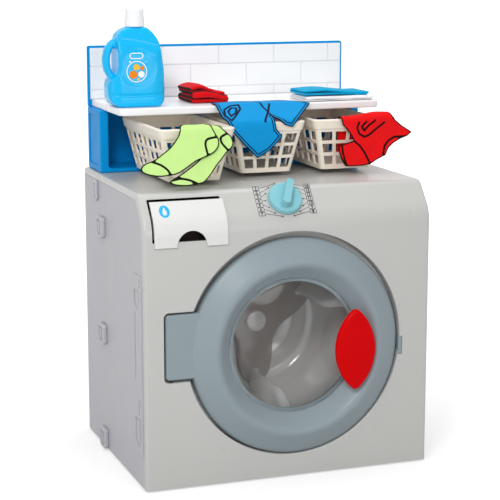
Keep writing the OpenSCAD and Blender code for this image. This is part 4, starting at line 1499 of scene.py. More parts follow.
    def _tray(self) -> None:
        """The drawer's open tray."""
        w = self.w
        half = w.tray_w / 2
        tray = box("drawer_bin", (w.x - half, w.tray_front, w.tray_low),
            (w.x + half, w.tray_back, w.tray_high))
        carve(tray, box("room", (w.x - half + 2.5, w.tray_front + 2.5, w.tray_low + 2.5),
            (w.x + half - 2.5, w.tray_back - 2.5, w.tray_high + 5), 6, 4))
        settle(weighted(bevel(tray, 0.5, 2, 50), 40), Look.DRAWER, "drawer", "drawer_white",
            "drawer_tray")

    def _mark(self) -> None:
        """A plain round mark with a water drop, printed on the drawer's front."""
        w = self.w
        cx, cz = w.x - w.w / 2 + 17, 367.0
        disc = rod("disc", (cx, -162, cz), (cx, -120, cz), 7.0, sides=48)
        drop = arc(cx, cz - 1.4, 3.0, 150, 390, 20) + [(cx + 0.3, cz + 4.8), (cx - 0.3, cz + 4.8)]
        carve(disc, prism("drop", drop, Axis.Y, -170, -120))
        shell = prism("film", self._dense(-w.proud - 0.12) + self._dense(-w.proud + 0.3)[::-1], Axis.X,
            cx - 10, cx + 10)
        boolean(disc, shell, "INTERSECT")
        disc.name = disc.data.name = "drawer_print"
        settle(disc, Look.INK_BLUE, "drawer", "drawer_white")


# ---- hutch


@dataclass(frozen=True)
class HutchBuilder:
    """Blue hutch, splash board with tiles and the white shelf."""

    h: HutchSize = HUTCH

    def build(self) -> None:
        """Make every piece of the hutch."""
        self._hutch()
        self._board()
        self._tiles()
        self._shelf()

    def _hutch(self) -> None:
        """The blue body with its open bay, sunken side panels and front grooves."""
        h = self.h
        body = box("hutch_shell", (-h.half_w, h.front, 388), (h.half_w, h.rear, h.shelf_low))
        bevel(body, 2.5, 4, 60)
        bay = rounded(-h.half_w + h.post, h.floor, h.half_w - h.post, h.shelf_low + 20, 4)
        carve(body, prism("bay", bay, Axis.Y, h.front - 10, h.back_in))
        for side in (-1, 1):
            x = side * h.half_w
            carve(body, prism("panel", rounded(h.front + 12, 397, h.rear - 8, 466, 4), Axis.X,
                x - side * 1.5, x + side * 5))
            carve(body, box("groove", (x - side * 13.5, h.front - 4, 396),
                (x - side * 11, h.front + 1.2, 473)))
        settle(weighted(bevel(body, 0.8, 2, 50), 40), Look.HUTCH, "cabinet", "hutch_blue", "hutch")

    def _board(self) -> None:
        """The board behind the tiles."""
        h = self.h
        outline = [(-h.half_w, h.shelf_low), (h.half_w, h.shelf_low),
            *arc(h.half_w - 4, h.board_top - 4, 4, 0, 90, 6),
            *arc(-h.half_w + 3, h.board_top - 3, 3, 90, 180, 6)]
        board = prism("board_shell", outline, Axis.Y, h.back_in, h.rear)
        settle(weighted(bevel(board, 1.2, 3, 50), 40), Look.HUTCH, "cabinet", "hutch_blue",
            "splash_board")

    def _tiles(self) -> None:
        """Rows of bevelled tiles in a running bond on a grout panel."""
        h = self.h
        half, top = h.half_w - h.border, h.board_top - h.border
        grout = box("grout", (-half, h.back_in - 1.3, h.shelf), (half, h.back_in, top))
        settle(grout, Look.GROUT, "cabinet", "board_white")
        made: list[Obj] = []
        first = h.shelf + 13.2
        rows = [(h.shelf + 0.3, first), (first, first + h.tile_h), (first + h.tile_h, top)]
        for r, (z0, z1) in enumerate(rows):
            x = (-0.5 if r == 1 else 0.0) * h.tile_l - 3 * h.tile_l + 0.2
            while x < half:
                x0, x1 = max(x, -half), min(x + h.tile_l, half)
                if x1 - x0 > 3:
                    g = h.grout / 2
                    made.append(box("tile", (x0 + g, h.back_in - 2.0, z0 + g),
                        (x1 - g, h.back_in - 0.6, z1 - g), 0.6, 3))
                x += h.tile_l
        settle(weighted(gather("tile_rows", *made), 40), Look.TILE, "cabinet", "board_white", "tile_face")

    def _shelf(self) -> None:
        """The shelf, hollow below, with four ribs."""
        h = self.h
        outline = [(-h.shelf_half, h.back_in),
            *arc(-h.shelf_half + 12, h.shelf_front + 12, 12, 180, 270, 10),
            *arc(h.shelf_half - 12, h.shelf_front + 12, 12, 270, 360, 10), (h.shelf_half, h.back_in)]
        shelf = prism("shelf_shell", outline, Axis.Z, h.shelf_low, h.shelf)
        bevel(shelf, 2.2, 4, 50)
        inner = rounded(-h.shelf_half + 3.5, h.shelf_front + 3.5, h.shelf_half - 3.5, h.back_in - 3, 9)
        carve(shelf, prism("under", inner, Axis.Z, h.shelf_low - 5, h.shelf - 2.5))
        ribs = [box("rib", (x - 1, h.shelf_front + 3, h.shelf_low + 1.5),
            (x + 1, h.back_in - 2, h.shelf - 2)) for x in (-120, -40, 40, 120)]
        weld(shelf, *ribs)
        settle(weighted(shelf, 40), Look.BOARD, "cabinet", "board_white", "shelf")


# ---- baskets


@dataclass(frozen=True)
class BasketBuilder:
    """Tapered baskets with rows of square holes and a rim band."""

    b: BasketSize = BASKET

    def build(self) -> None:
        """Make the three baskets from one mould."""
        b = self.b
        first = self._basket()
        places = (("left", b.left_x, b.drawn), ("middle", b.middle_x, 0.0), ("right", b.right_x, 0.0))
        for i, (name, x, drawn) in enumerate(places):
            # The first mould itself becomes the last basket.
            obj = link(f"{name}_basket_shell", first.data.copy()) if i < 2 else first
            obj.name = obj.data.name = f"{name}_basket_shell"
            move(obj, Matrix.Translation(Vector((x, b.y - drawn, b.base)) * MM))
            settle(obj, Look.BASKET, f"basket_{name}", "basket_cream", f"{name}_basket")

    def _loop(self, half_x: float, half_y: float, z: float, cuts_x: list[float], cuts_y: list[float],
            corner: float) -> list[Point3]:
        """Points round a rounded rectangle, with a point at each cut along its sides.

        Args:
            half_x: Half its width.
            half_y: Half its length.
            z: Its height.
            cuts_x: Cuts along the ends.
            cuts_y: Cuts along the sides.
            corner: Radius of the corners.

        Returns:
            The points, counter-clockwise.
        """
        loop: list[Point3] = []
        sides = (((1, -1), cuts_x, 0), ((1, 1), cuts_y, 90), ((-1, 1), cuts_x, 180),
            ((-1, -1), cuts_y, 270))
        for (sx, sy), cuts, start in sides:
            for u in cuts:
                p = {0: (u, -half_y), 90: (half_x, u), 180: (-u, half_y), 270: (-half_x, -u)}[start]
                loop.append((*p, z))
            cx, cy = sx * (half_x - corner), sy * (half_y - corner)
            loop += [(px, py, z) for px, py in arc(cx, cy, corner, start - 90, start, 4)]
        return loop

    def _basket(self) -> Obj:
        """One basket about its own middle: wall with holes, floor and rim.

        Returns:
            The basket.
        """
        b = self.b
        half_x, half_y = b.w / 2 - b.proud, b.l / 2 - b.proud
        n_end, n_side, rib = 4, 7, 4.6
        hole_h, bar, foot = 13.0, 3.9, 6.2
        levels = [0.0, foot]
        for r in range(3):
            z = foot + r * (hole_h + bar)
            levels += [z, z + hole_h]
        levels = sorted(set(levels + [b.h - b.rim + 1, b.h]))
        rings: list[list[Point3]] = []
        for z in levels:
            t = z / b.h
            hx = half_x - b.side_taper * (1 - t)
            hy = half_y - b.end_taper * (1 - t)
            pitch_x = (hx - 4) * 2 / n_end
            pitch_y = (hy - 4.5) * 2 / n_side
            cuts_x = self._cuts(n_end, pitch_x, pitch_x - rib)
            cuts_y = self._cuts(n_side, pitch_y, pitch_y - rib)
            rings.append(self._loop(hx, hy, z, cuts_x, cuts_y, 6.0))
        count = len(rings[0])
        verts = [p for ring in rings for p in ring]
        hole_rows = {i for i in range(len(levels) - 1)
            if any(abs(levels[i] - (foot + r * (hole_h + bar))) < 1e-6 for r in range(3))}
        spans = self._hole_columns(n_end, n_side)
        faces = [face for k, face in enumerate(grid_faces(len(levels), count, True))
            if not (k // count in hole_rows and k % count in spans)]
        wall = new_mesh("wall", verts, faces=faces)
        apply(wall, "SOLIDIFY", thickness=b.wall * MM, offset=-1.0)
        bevel(wall, 0.6, 2, 50)
        foot_x, foot_y = half_x - b.side_taper, half_y - b.end_taper
        floor = prism("floor", rounded(-foot_x + 0.5, -foot_y + 0.5, foot_x - 0.5, foot_y - 0.5, 6),
            Axis.Z, 0.05, 2.5)
        rim = self._rim(half_x, half_y)
        basket = gather("basket", wall, floor, rim)
        return weighted(basket, 45)

    @staticmethod
    def _cuts(n: int, pitch: float, hole: float) -> list[float]:
        """Both edges of each hole in a row."""
        centres = [(i - (n - 1) / 2) * pitch for i in range(n)]
        return [c + s * hole / 2 for c in centres for s in (-1, 1)]

    @staticmethod
    def _hole_columns(n_end: int, n_side: int) -> set[int]:
        """Columns of the wall's grid that hold holes, counted round the loop.

        Args:
            n_end: Holes in an end's row.
            n_side: Holes in a side's row.

        Returns:
            The columns.
        """
        out: set[int] = set()
        at = 0
        for n in (n_end, n_side, n_end, n_side):
            out |= {at + 2 * i for i in range(n)}
            at += 2 * n + 5
        return out

    def _rim(self, half_x: float, half_y: float) -> Obj:
        """The thick rim band with a rolled upper edge.

        Args:
            half_x: Half the wall's width at the top.
            half_y: Half its length.

        Returns:
            The band.
        """
        b = self.b
        profile = [(b.proud - 0.4, b.h - b.rim), (b.proud, b.h - b.rim + 1.2), (b.proud, b.h - 1.5),
            (b.proud - 1.2, b.h - 0.2), (-b.wall + 0.6, b.h), (-b.wall - 0.4, b.h - 1.2),
            (-b.wall - 0.4, b.h - 3.2), (-0.6, b.h - 4.5), (-0.6, b.h - b.rim)]
        verts = []
        for out, z in profile:
            t = z / b.h
            hx = half_x - b.side_taper * (1 - t) + out
            hy = half_y - b.end_taper * (1 - t) + out
            verts += [(x, y, z) for x, y in rounded(-hx, -hy, hx, hy, 7.0 + out, 6)]
        n = len(profile)
        faces = grid_faces(n, len(verts) // n, True, True)
        return bevel(outward(new_mesh("rim", verts, faces=faces)), 0.3, 2, 40)


# ---- bottle


@dataclass(frozen=True)
class BottleBuilder:
    """Blow-moulded bottle with a handle loop, a generic label and a ribbed cap."""

    s: BottleSize = BOTTLE

    def build(self) -> None:
        """Make every piece of the bottle."""
        self._body()
        self._cap()
        self._label()

    def _body(self) -> None:
        """Unite belly, shoulders and loop, then soften them into one skin."""
        s = self.s
        d = s.d / 2
        outline = [(29, 0), (35, 3.5), (38.2, 10), (38.4, 17), (37.8, 30), (37.4, 42), (36, 53),
            (33.8, 63), (32, 73), (31, 81), (27.7, 90), (22.2, 98.2), (16.5, 103.6), (13, 106),
            (-13, 106), (-20, 102.5), (-26, 97), (-28.8, 89), (-28.4, 80), (-27.6, 70), (-27.6, 52),
            (-28.6, 45), (-33, 40.5), (-38.3, 36), (-41, 29), (-41.4, 20), (-40, 11), (-35.5, 4),
            (-28, 0)]
        body = prism("bottle_skin", outline, Axis.Y, -d, d)
        plan = prism("plan", rounded(-42, -d, 39, d, 17, 8), Axis.Z, -5, s.h + 5)
        boolean(body, plan, "INTERSECT")
        # From the side the flanks lean in towards the neck.
        lean = prism("lean", [(-d, -5), (d, -5), (d, 70), (d - 3.5, 84), (15, 98), (11, 107), (-11, 107),
            (-15, 98), (-d + 3.5, 84), (-d, 70)], Axis.X, -60, 60)
        boolean(body, lean, "INTERSECT")
        bevel(body, 5.5, 4, 40)
        handle = prism("loop", [(-26, 92), (-33, 89.5), (-38, 85), (-43.2, 76), (-45.9, 63), (-44.6, 50),
            (-40.6, 42), (-36, 36), (-28, 41), (-30.6, 44), (-34, 49), (-35.9, 59), (-35.4, 68),
            (-32, 77), (-27.5, 82)], Axis.Y, -7.5, 7.5)
        bevel(handle, 3.5, 4, 50)
        weld(body, handle)
        neck = rod("neck", (0, 0, s.h - 6), (0, 0, s.h + 14), s.neck_r, sides=64)
        apply(body, "REMESH", mode="VOXEL", voxel_size=1.2 * MM, adaptivity=0.0)
        apply(body, "SMOOTH", factor=0.7, iterations=22)
        self._mould(body)
        weld(body, neck)
        move(body, Matrix.Translation(Vector((s.x, s.y, s.base)) * MM))
        settle(smooth(body, 60), Look.BOTTLE, "bottle", "bottle_blue", "bottle_body")

    def _mould(self, body: Obj) -> None:
        """Press the shoulder line, the foot line and the label's panel into the skin.

        Args:
            body: The bottle's skin.
        """
        for v in body.data.vertices:
            x, _, z = (c / MM for c in v.co)
            if x < -29 and 40 < z < 95:
                continue
            shoulder = z - (86.5 - 0.19 * x - 0.0022 * x * x)
            foot = z - (15 + 0.0015 * x * x)
            depth = 0.95 * exp(-(shoulder / 1.7) ** 2) + 0.8 * exp(-(foot / 1.7) ** 2)
            reach = hypot((x + 2) / 26, (z - 53) / 25)
            depth += 0.7 / (1 + exp((reach - 1) * 26))
            v.co.y *= 1 - depth / 22.5
            v.co.x *= 1 - 0.4 * depth / 37
        body.data.update()

    def _cap(self) -> None:
        """A tapered screw cap with fine ribs round its skirt."""
        s = self.s
        base = s.base + s.h + 0.3
        steps = 120
        rings = [(0, 13.3, 0), (0.6, 13.5, 1), (17.5, 12.3, 1), (18.6, 12, 0),
            (19.6, 12.2, 0), (22.6, 11.7, 0), (23.7, 10.8, 0), (24, 9.6, 0)]
        verts = []
        for z, r, rib in rings:
            for i in range(steps):
                a = 2 * pi * i / steps
                rr = r - rib * 0.45 * (i % 3 == 0)
                verts.append((s.x + rr * cos(a), s.y + rr * sin(a), base + z))
        n = len(rings)
        faces: list[tuple[int, ...]] = [*grid_faces(n, steps, True)]
        faces.append(tuple((n - 1) * steps + i for i in range(steps)))
        bore = [(21, 9.2), (0, 9.2)]
        top = len(verts)
        for z, r in bore:
            turns = [2 * pi * i / steps for i in range(steps)]
            verts += [(s.x + r * cos(a), s.y + r * sin(a), base + z) for a in turns]
        faces.append(tuple(top + i for i in range(steps))[::-1])
        foot = top + steps
        for i in range(steps):
            j = (i + 1) % steps
            faces += [(top + i, top + j, foot + j, foot + i), (foot + i, foot + j, j, i)]
        cap = outward(new_mesh("cap_shell", verts, faces=faces))
        settle(smooth(bevel(cap, 0.25, 2, 45), 35), Look.CAP, "cap", "board_white", "bottle_cap")

    def _label(self) -> None:
        """A plain label with generic bubbles, wrapped on the belly's front."""
        rims = [self._rim(rounded(-13.5, 64.2, 5.5, 72.4, 4, 6), rounded(-12.3, 65.4, 4.3, 71.2, 2.8, 6)),
            self._rim(arc(-3.8, 47.4, 14.2, 0, 352.5, 48), arc(-3.8, 47.4, 13.1, 0, 352.5, 48))]
        settle(gather("label_rings", *rims), Look.LABEL, "bottle", "bottle_blue")
        colours = ((Look.LABEL_WARM, "label_orange", ((-8.6, 43.6, 5.6), (3.6, 52, 3))),
            (Look.LABEL, "label_white", ((2.4, 43.8, 4.4), (-12.8, 60.6, 1.4), (9.6, 60.4, 1))),
            (Look.LABEL_YELLOW, "label_yellow", ((-4.2, 53.4, 4.2), (-1.6, 37.2, 1.9))))
        for look, name, dots in colours:
            made = [self._wrap("dot", arc(x, z, r, 0, 345, 24), 0.22) for x, z, r in dots]
            settle(gather(name, *made), look, "bottle", "bottle_blue")

    def _rim(self, outer: Points, inner: Points) -> Obj:
        """A printed ring between two outlines with equal numbers of corners.

        Args:
            outer: The outer outline.
            inner: The inner one.

        Returns:
            The ring.
        """
        n = len(outer)
        return self._press("rim", [*outer, *inner],
            [(i, (i + 1) % n, n + (i + 1) % n, n + i) for i in range(n)], 0.2)

    def _wrap(self, name: str, outline: Points, proud: float) -> Obj:
        """Project a filled outline onto the bottle's front."""
        cut = FlatCut(outline, [], 1.6, 0)
        return self._press(name, cut.verts, cut.faces, proud)

    def _press(self, name: str, flat: Points, faces: Sequence[tuple[int, ...]], proud: float) -> Obj:
        """Project a flat mesh onto the bottle's front and give it a little thickness.

        Args:
            name: The object's name.
            flat: Points (across, up).
            faces: Their faces.
            proud: How far it stands off the skin.

        Returns:
            The patch.
        """
        s = self.s
        patch = new_mesh(name, [(s.x + u, s.y - 60, s.base + v) for u, v in flat], faces=faces)
        apply(patch, "SHRINKWRAP", target=bpy.data.objects["bottle_skin"], wrap_method="PROJECT",
            wrap_mode="ABOVE_SURFACE", use_project_y=True, use_positive_direction=True,
            use_negative_direction=False, offset=proud * MM)
        apply(patch, "SOLIDIFY", thickness=0.2 * MM, offset=0.0)
        return smooth(patch, 60)


# ---- laundry


@dataclass(frozen=True)
class Fold:
    """One sheet folded to and fro on the shelf."""

    name: str
    look: Look
    slot: str
    node: str
    xs: Point2
    ys: Point2
    z0: float
    layers: int
    pitch: float
    seed: float
    # Share of the width by which the top layer's right end draws in.
    slant: float
    # Share of the height that is lost towards the right end.
    taper: float
    wave: float


def ease(t: float) -> float:
    """Smooth step between 0 and 1."""
    t = min(1.0, max(0.0, t))
    return t * t * (3 - 2 * t)


class DrapePath:
    """A smooth path in the (Y, Z) plane that cloth follows, measured along its length."""

    def __init__(self, points: Points, rounds: int = 3, start: float = 0.0) -> None:
        """Round the corners of the path and measure it.

        Args:
            points: Corners of the path.
            rounds: How often the corners are cut.
            start: Length at its first point.
        """
        pts = [np.array(p, float) for p in points]
        for _ in range(rounds):
            cut = [pts[0]]
            for a, b in zip(pts, pts[1:]):
                cut += [a * 0.75 + b * 0.25, a * 0.25 + b * 0.75]
            pts = cut + [pts[-1]]
        self.points = np.array(pts)
        steps = np.hypot(*np.diff(self.points, axis=0).T)
        self.marks = np.concatenate([[0.0], np.cumsum(steps)]) + start

    def at(self, s: float) -> tuple[np.ndarray, np.ndarray]:
        """Point and normal at a length along the path, carried on straight past its ends.

        Args:
            s: The length.

        Returns:
            The point and the normal.
        """
        k = int(np.clip(np.searchsorted(self.marks, s) - 1, 0, len(self.points) - 2))
        a, b = self.points[k], self.points[k + 1]
        step = self.marks[k + 1] - self.marks[k]
        t = (s - self.marks[k]) / step
        way = (b - a) / step
        return a + (b - a) * t, np.array([way[1], -way[0]])


class FlatCut:
    """Cloth cut flat from an outline, with printed lines, as a fine triangle mesh."""

    def __init__(self, outline: Points, lines: Sequence[Points], step: float = 2.5, rounds: int = 2,
            hem: float = 0.0) -> None:
        """Cut the cloth.

        Args:
            outline: Corners of the cut, (across, along).
            lines: Printed lines inside it.
            step: Size of the mesh's triangles.
            rounds: How often the outline's corners are softened.
            hem: Distance of a second printed line inside the outline, or 0.
        """
        self.hem = hem
        self.outline = self._soften(np.array(outline, float), rounds, True)
        self.lines = [self._soften(np.array(line, float), rounds, False) for line in lines]
        self.step = step
        self._triangulate()

    @staticmethod
    def _soften(pts: np.ndarray, rounds: int, closed: bool) -> np.ndarray:
        """Cut a line's corners.

        Args:
            pts: Its points.
            rounds: How often they are cut.
            closed: Whether it is a loop.

        Returns:
            The softened line.
        """
        for _ in range(rounds):
            nxt = np.roll(pts, -1, 0) if closed else pts[1:]
            cur = pts if closed else pts[:-1]
            cut = np.stack([cur * 0.8 + nxt * 0.2, cur * 0.2 + nxt * 0.8], 1).reshape(-1, 2)
            pts = cut if closed else np.vstack([pts[:1], cut[1:-1], pts[-1:]])
        return pts

    def _resample(self, pts: np.ndarray, closed: bool) -> np.ndarray:
        """Space a line's points evenly.

        Args:
            pts: Its points.
            closed: Whether it is a loop.

        Returns:
            Points one step apart.
        """
        chain = np.vstack([pts, pts[:1]]) if closed else pts
        marks = np.concatenate([[0.0], np.cumsum(np.hypot(*np.diff(chain, axis=0).T))])
        count = max(2, int(marks[-1] / self.step))
        at = np.linspace(0, marks[-1], count, endpoint=not closed)
        return np.stack([np.interp(at, marks, chain[:, i]) for i in range(2)], 1)

    def _triangulate(self) -> None:
        """Fill the outline with triangles, and measure the ink, the area and the size."""
        edge = self._resample(self.outline, True)
        verts = [Vector(p) for p in edge]
        face = [list(range(len(edge)))]
        edges: list[tuple[int, int]] = []
        chains = [self._resample(line, False) for line in self.lines]
        for chain in chains:
            start = len(verts)
            verts += [Vector(p) for p in chain]
            edges += [(start + i, start + i + 1) for i in range(len(chain) - 1)]
        low, high = edge.min(0), edge.max(0)
        segments = self._segments(edge, chains)
        grid = np.array([(x + (self.step / 2 if j % 2 else 0), y)
            for j, y in enumerate(np.arange(low[1], high[1], self.step * 0.87))
            for x in np.arange(low[0], high[0], self.step)])
        clear = self._distance(grid, segments) > self.step * 0.45
        verts += [Vector(p) for p in grid[clear]]
        out = geometry.delaunay_2d_cdt(verts, edges, face, 1, 1e-4)
        self.verts = np.array([tuple(v) for v in out[0]])
        self.faces = [tuple(f) for f in out[2]]
        self.ink = self._distance(self.verts, segments)
        if self.hem:
            rim = self._distance(self.verts, self._segments(edge, []))
            self.ink = np.minimum(self.ink, np.abs(rim - self.hem) + 0.7)
        tri = self.verts[np.array(self.faces)]
        a, b = tri[:, 1] - tri[:, 0], tri[:, 2] - tri[:, 0]
        self.area = float(np.abs(a[:, 0] * b[:, 1] - a[:, 1] * b[:, 0]).sum() / 2)
        self.size = self.verts.max(0) - self.verts.min(0)

    @staticmethod
    def _segments(edge: np.ndarray, chains: Sequence[np.ndarray]) -> np.ndarray:
        """Segments of the outline and of the printed lines.

        Args:
            edge: The outline.
            chains: The lines.

        Returns:
            Pairs of points.
        """
        pairs = [np.stack([edge, np.roll(edge, -1, 0)], 1)]
        pairs += [np.stack([c[:-1], c[1:]], 1) for c in chains]
        return np.concatenate(pairs)

    @staticmethod
    def _distance(points: np.ndarray, segments: np.ndarray) -> np.ndarray:
        """Distance from each point to its nearest segment.

        Args:
            points: The points.
            segments: The segments.

        Returns:
            The distances.
        """
        a, b = segments[:, 0], segments[:, 1]
        way = b - a
        t = ((points[:, None] - a) * way).sum(2) / np.maximum((way ** 2).sum(1), 1e-9)
        near = a + np.clip(t, 0, 1)[..., None] * way
        return np.sqrt(((points[:, None] - near) ** 2).sum(2)).min(1)

    def drape(self, name: str, path: DrapePath, wave: float = 1.2, lift: float = 0.8, seed: float = 0.0,
            thick: float = 1.2, shift: Callable[[float, float], float] | None = None) -> Obj:
        """Lay the cut along a path, with soft waves, and give it thickness.

        Args:
            name: The object's name.
            path: The path it follows.
            wave: Height of its waves.
            lift: How far it lies off the path.
            seed: Place in the noise.
            thick: Thickness of the cloth.
            shift: More lift for a point (across, along).

        Returns:
            The cloth, with its distance to the nearest printed line as an attribute.
        """
        points = []
        for u, s in self.verts:
            at, normal = path.at(s)
            bend = noise.noise(Vector((u / 34 + seed, s / 42, seed))) * wave
            off = lift + abs(bend) + (shift(u, s) if shift else 0.0)
            y, z = at + normal * off
            points.append((u, y, z))
        obj = new_mesh(name, points, faces=self.faces)
        layer = obj.data.attributes.new("ink", "FLOAT", "POINT")
        layer.data.foreach_set("value", self.ink.astype(np.float32))
        apply(obj, "SOLIDIFY", thickness=thick * MM, offset=0.0)
        return smooth(obj, 50)


class LaundryBuilder:
    """Socks, shorts, T-shirt, folded shirt and towels."""

    def build(self) -> None:
        """Make every piece of laundry."""
        self._socks()
        self._shorts()
        self._t_shirt()
        self._stacks()

    @staticmethod
    def _declare(obj: Obj, cut: FlatCut, rests: Sequence[str], held: str = "draped") -> None:
        """Do nothing with a piece of cloth, its cut, what it rests on and how it is held."""

    def _socks(self) -> None:
        """Two flat printed socks over the left basket's front rim, toes down on the deck."""
        path = DrapePath([(-78, 452), (-84, 466), (-92.5, 467.5), (-96, 458), (-118, 391)])
        start = 24.0
        first = FlatCut([(-132.4, -6), (-136, 8.2), (-148.4, 23.4), (-162.8, 33.2), (-174.2, 40.5),
            (-183.7, 42.7), (-190.8, 47.5), (-191.4, 54), (-183.9, 58.2), (-169.7, 61.5), (-156.3, 60.9),
            (-142.7, 58.9), (-129.8, 51.7), (-116.7, 43.1), (-99.8, 37.3), (-89.7, 32.5), (-83.4, 24.9),
            (-82.4, 15.6), (-87.1, 7.5), (-93.2, -6)],
            [[(-86.3, 12.8), (-100.1, 14.9), (-102.3, 22.7), (-99.8, 37.3)],
            [(-175.6, 41.7), (-164.1, 46.2), (-155.5, 53.1), (-152.2, 60.4)]])
        second = FlatCut([(-97, -6), (-82.1, -5), (-71.7, 5.5), (-64.2, 12.4), (-62.5, 21.8),
            (-65.9, 28.3), (-73.3, 33.2), (-79.7, 40.9), (-88.8, 49.7), (-98.4, 62.4), (-107.5, 71.1),
            (-115.8, 73.3), (-133.6, 75), (-149.5, 72.9), (-155.7, 68.7), (-150, 65.1), (-135.8, 57.9),
            (-115.5, 44.5), (-100.6, 32), (-95, 19.3), (-97.1, 5.9)],
            [[(-67.8, 7), (-80.8, 13.1), (-78.9, 21.1), (-70.4, 31.4)],
            [(-150.1, 66.4), (-139.2, 64.3), (-126, 67.6), (-115.8, 73.3)]])
        for name, cut, lift, seed in (("sock_front", first, 2.6, 1.7), ("sock_back", second, 0.7, 5.1)):
            cut.verts[:, 1] += start
            sock = cut.drape(name, path, 1.0, lift, seed)
            settle(sock, Look.GREEN, "basket_left", "cloth_green",
                *(("socks",) if name == "sock_front" else ()))
            self._declare(sock, cut, ["left_basket_shell"], "hung")

    def _shorts(self) -> None:
        """Printed shorts from the shelf's edge down to the middle basket's rim and beyond."""
        path = DrapePath([(16, 485.6), (-7, 485.6), (-12, 482), (-40, 469), (-47.5, 464), (-49.5, 405)],
            2)
        cut = FlatCut([(-55.5, 4.1), (-55.9, 55.2), (-45.6, 78.1), (-30.4, 94.8), (-10.8, 114.5),
            (8.1, 104.5), (25.8, 86.3), (17.3, 76.5), (14.8, 57.3), (30.3, 71.6), (40.5, 74.7),
            (54.6, 59.9), (80.7, 26.5), (49.8, 2.8), (23.5, -3.9), (-19.1, -2.1)],
            [[(-44.3, 63.2), (-50.3, 50.6), (-47.3, 36.1), (-35.8, 26.8), (-23.8, 25.1), (-24, 35),
            (-35, 51.6), (-43.8, 62.2)], [(-42.7, 53.6), (-43.2, 41.3), (-35.9, 31.8), (-28.9, 32.3),
            (-32.7, 44.4), (-42.2, 52.6)], [(7.1, 3.7), (9.3, 34.6), (12.4, 47.3), (14.4, 56)],
            [(21.1, 25.3), (13.2, 44.8), (1.8, 66.3)]], 1.15, 0, 4)
        shorts = cut.drape("shorts_cut", path, 1.6, 0.9, 3.3)
        settle(shorts, Look.BLUE, "basket_middle", "cloth_blue", "shorts")
        self._declare(shorts, cut, ["middle_basket_shell", "shelf_shell"])

    def _t_shirt(self) -> None:
        """A printed T-shirt over the right basket's front rim."""
        path = DrapePath([(-24, 404), (-36.5, 456), (-37.5, 464), (-41, 466.5), (-46.8, 466.8),
            (-50.2, 462), (-53, 400)], 1, -63.5)
        cut = FlatCut([(113, -52), (164, -52), (171, -14), (178, -2), (188, 11),
            (202.1, 22.1), (216.5, 31), (209.5, 36.3), (198.7, 40), (187.9, 45.8), (180.9, 51.8),
            (176.1, 61.9), (172.2, 63.2), (163, 67.6), (153.1, 73.4), (140.2, 74.9), (125.2, 74.9),
            (116.3, 74.5), (110.5, 65.3), (107.1, 55.6), (105.9, 45.9), (117.1, 43), (129.1, 40),
            (126.3, 34.4), (120.5, 26), (113, 17.6), (111, 5)],
            [[(129.1, 40), (137.9, 47.2), (145.2, 57.2), (153.1, 72.7)],
            [(111.1, 45.5), (112.3, 55.8), (115.7, 66.9), (118.5, 73.9)],
            [(206.4, 36.8), (189.6, 36.9), (180.3, 42), (174.9, 48.7), (172.3, 61.1)],
            [(174.6, 16), (164.1, 23.5), (151.8, 32.7), (144.2, 35.1), (136.9, 30.7), (134.1, 22.4),
            (137.3, 15)], [(159.8, 13.7), (150.6, 20.2), (144.5, 26.9), (140.8, 21.3), (147.8, 14.6)]],
            1.7, 0)

        def puff(u: float, s: float) -> float:
            """The cloth stands up over the rim towards its right end."""
            rise = ease((u - 114) / 54) * (1 - ease((u - 184) / 24))
            return 4.0 * rise * exp(-((s - 3) / 15) ** 2)

        shirt = cut.drape("t_shirt_cut", path, 1.6, 1.0, 7.7, shift=puff)
        settle(shirt, Look.RED, "basket_right", "cloth_red", "t_shirt")
        self._declare(shirt, cut, ["right_basket_shell"])

    def _stacks(self) -> None:
        """Folded pieces on the shelf, each one sheet folded in layers."""
        top = HUTCH.shelf
        self._fold(Fold("folded_shirt_cloth", Look.SHIRT, "cloth_red", "folded_shirt", (-79, -21),
            (30, 92), top + 0.3, 4, 6.4, 2.2, 0.16, 0.38, 1.8))
        self._fold(Fold("towel_white_cloth", Look.TERRY, "cloth_white", "white_towels", (78, 184),
            (0, 66), top + 0.3, 3, 2.5, 4.5, 0.0, 0.1, 0.5))
        self._fold(Fold("towel_blue_cloth", Look.TERRY_BLUE, "cloth_turquoise", "turquoise_towel",
            (77, 178), (2, 60), top + 8.2, 2, 4.3, 8.8, -0.05, 0.62, 0.9))

    def _fold(self, f: Fold) -> None:
        """Fold one long sheet to and fro into a stack.

        Args:
            f: The stack's sizes.
        """
        xs, ys, z0, layers, pitch, seed = f.xs, f.ys, f.z0, f.layers, f.pitch, f.seed
        run = ys[1] - ys[0] - pitch
        line: list[Point2] = []
        for k in range(layers):
            z = z0 + pitch * (k + 0.5)
            steps = 14
            row = [(ys[0] + pitch / 2 + run * i / steps, z) for i in range(steps + 1)]
            if k % 2:
                row.reverse()
            line += row
            if k < layers - 1:
                end = row[-1][0]
                sign = 1 if k % 2 == 0 else -1
                line += [(end + sign * pitch / 2 * sin(a), z + pitch / 2 - pitch / 2 * cos(a))
                    for a in (pi * j / 6 for j in range(1, 6))]
        cols = 26
        length = sum(dist(a, b) for a, b in zip(line, line[1:]))
        width = xs[1] - xs[0]
        verts = []
        for i, (y, z) in enumerate(line):
            layer = (z - z0) / (pitch * layers)
            for j in range(cols + 1):
                u = j / cols
                wob = noise.noise(Vector((u * 3 + seed, y / 24, layer * 4)))
                slip = noise.noise(Vector((seed, layer * 9, 2.0))) * 1.5
                edge = 1 - (2 * u - 1) ** 8 * 0.25
                span = (width - 4) * (1 - f.slant * max(0.0, layer - 0.35))
                fall = 1 - f.taper * ease((u - 0.3) / 0.65)
                wave = f.wave * layer * sin(7.5 * u + 4 * layer + seed)
                verts.append((xs[0] + 2 + span * u + slip + wob * 0.8,
                    y + noise.noise(Vector((u * 4, seed, layer * 7))) * 1.2,
                    z0 + (z - z0) * (0.93 + 0.07 * wob) * edge ** 0.4 * fall
                    + wave * min(1.0, 6 * u, 6 - 6 * u)))
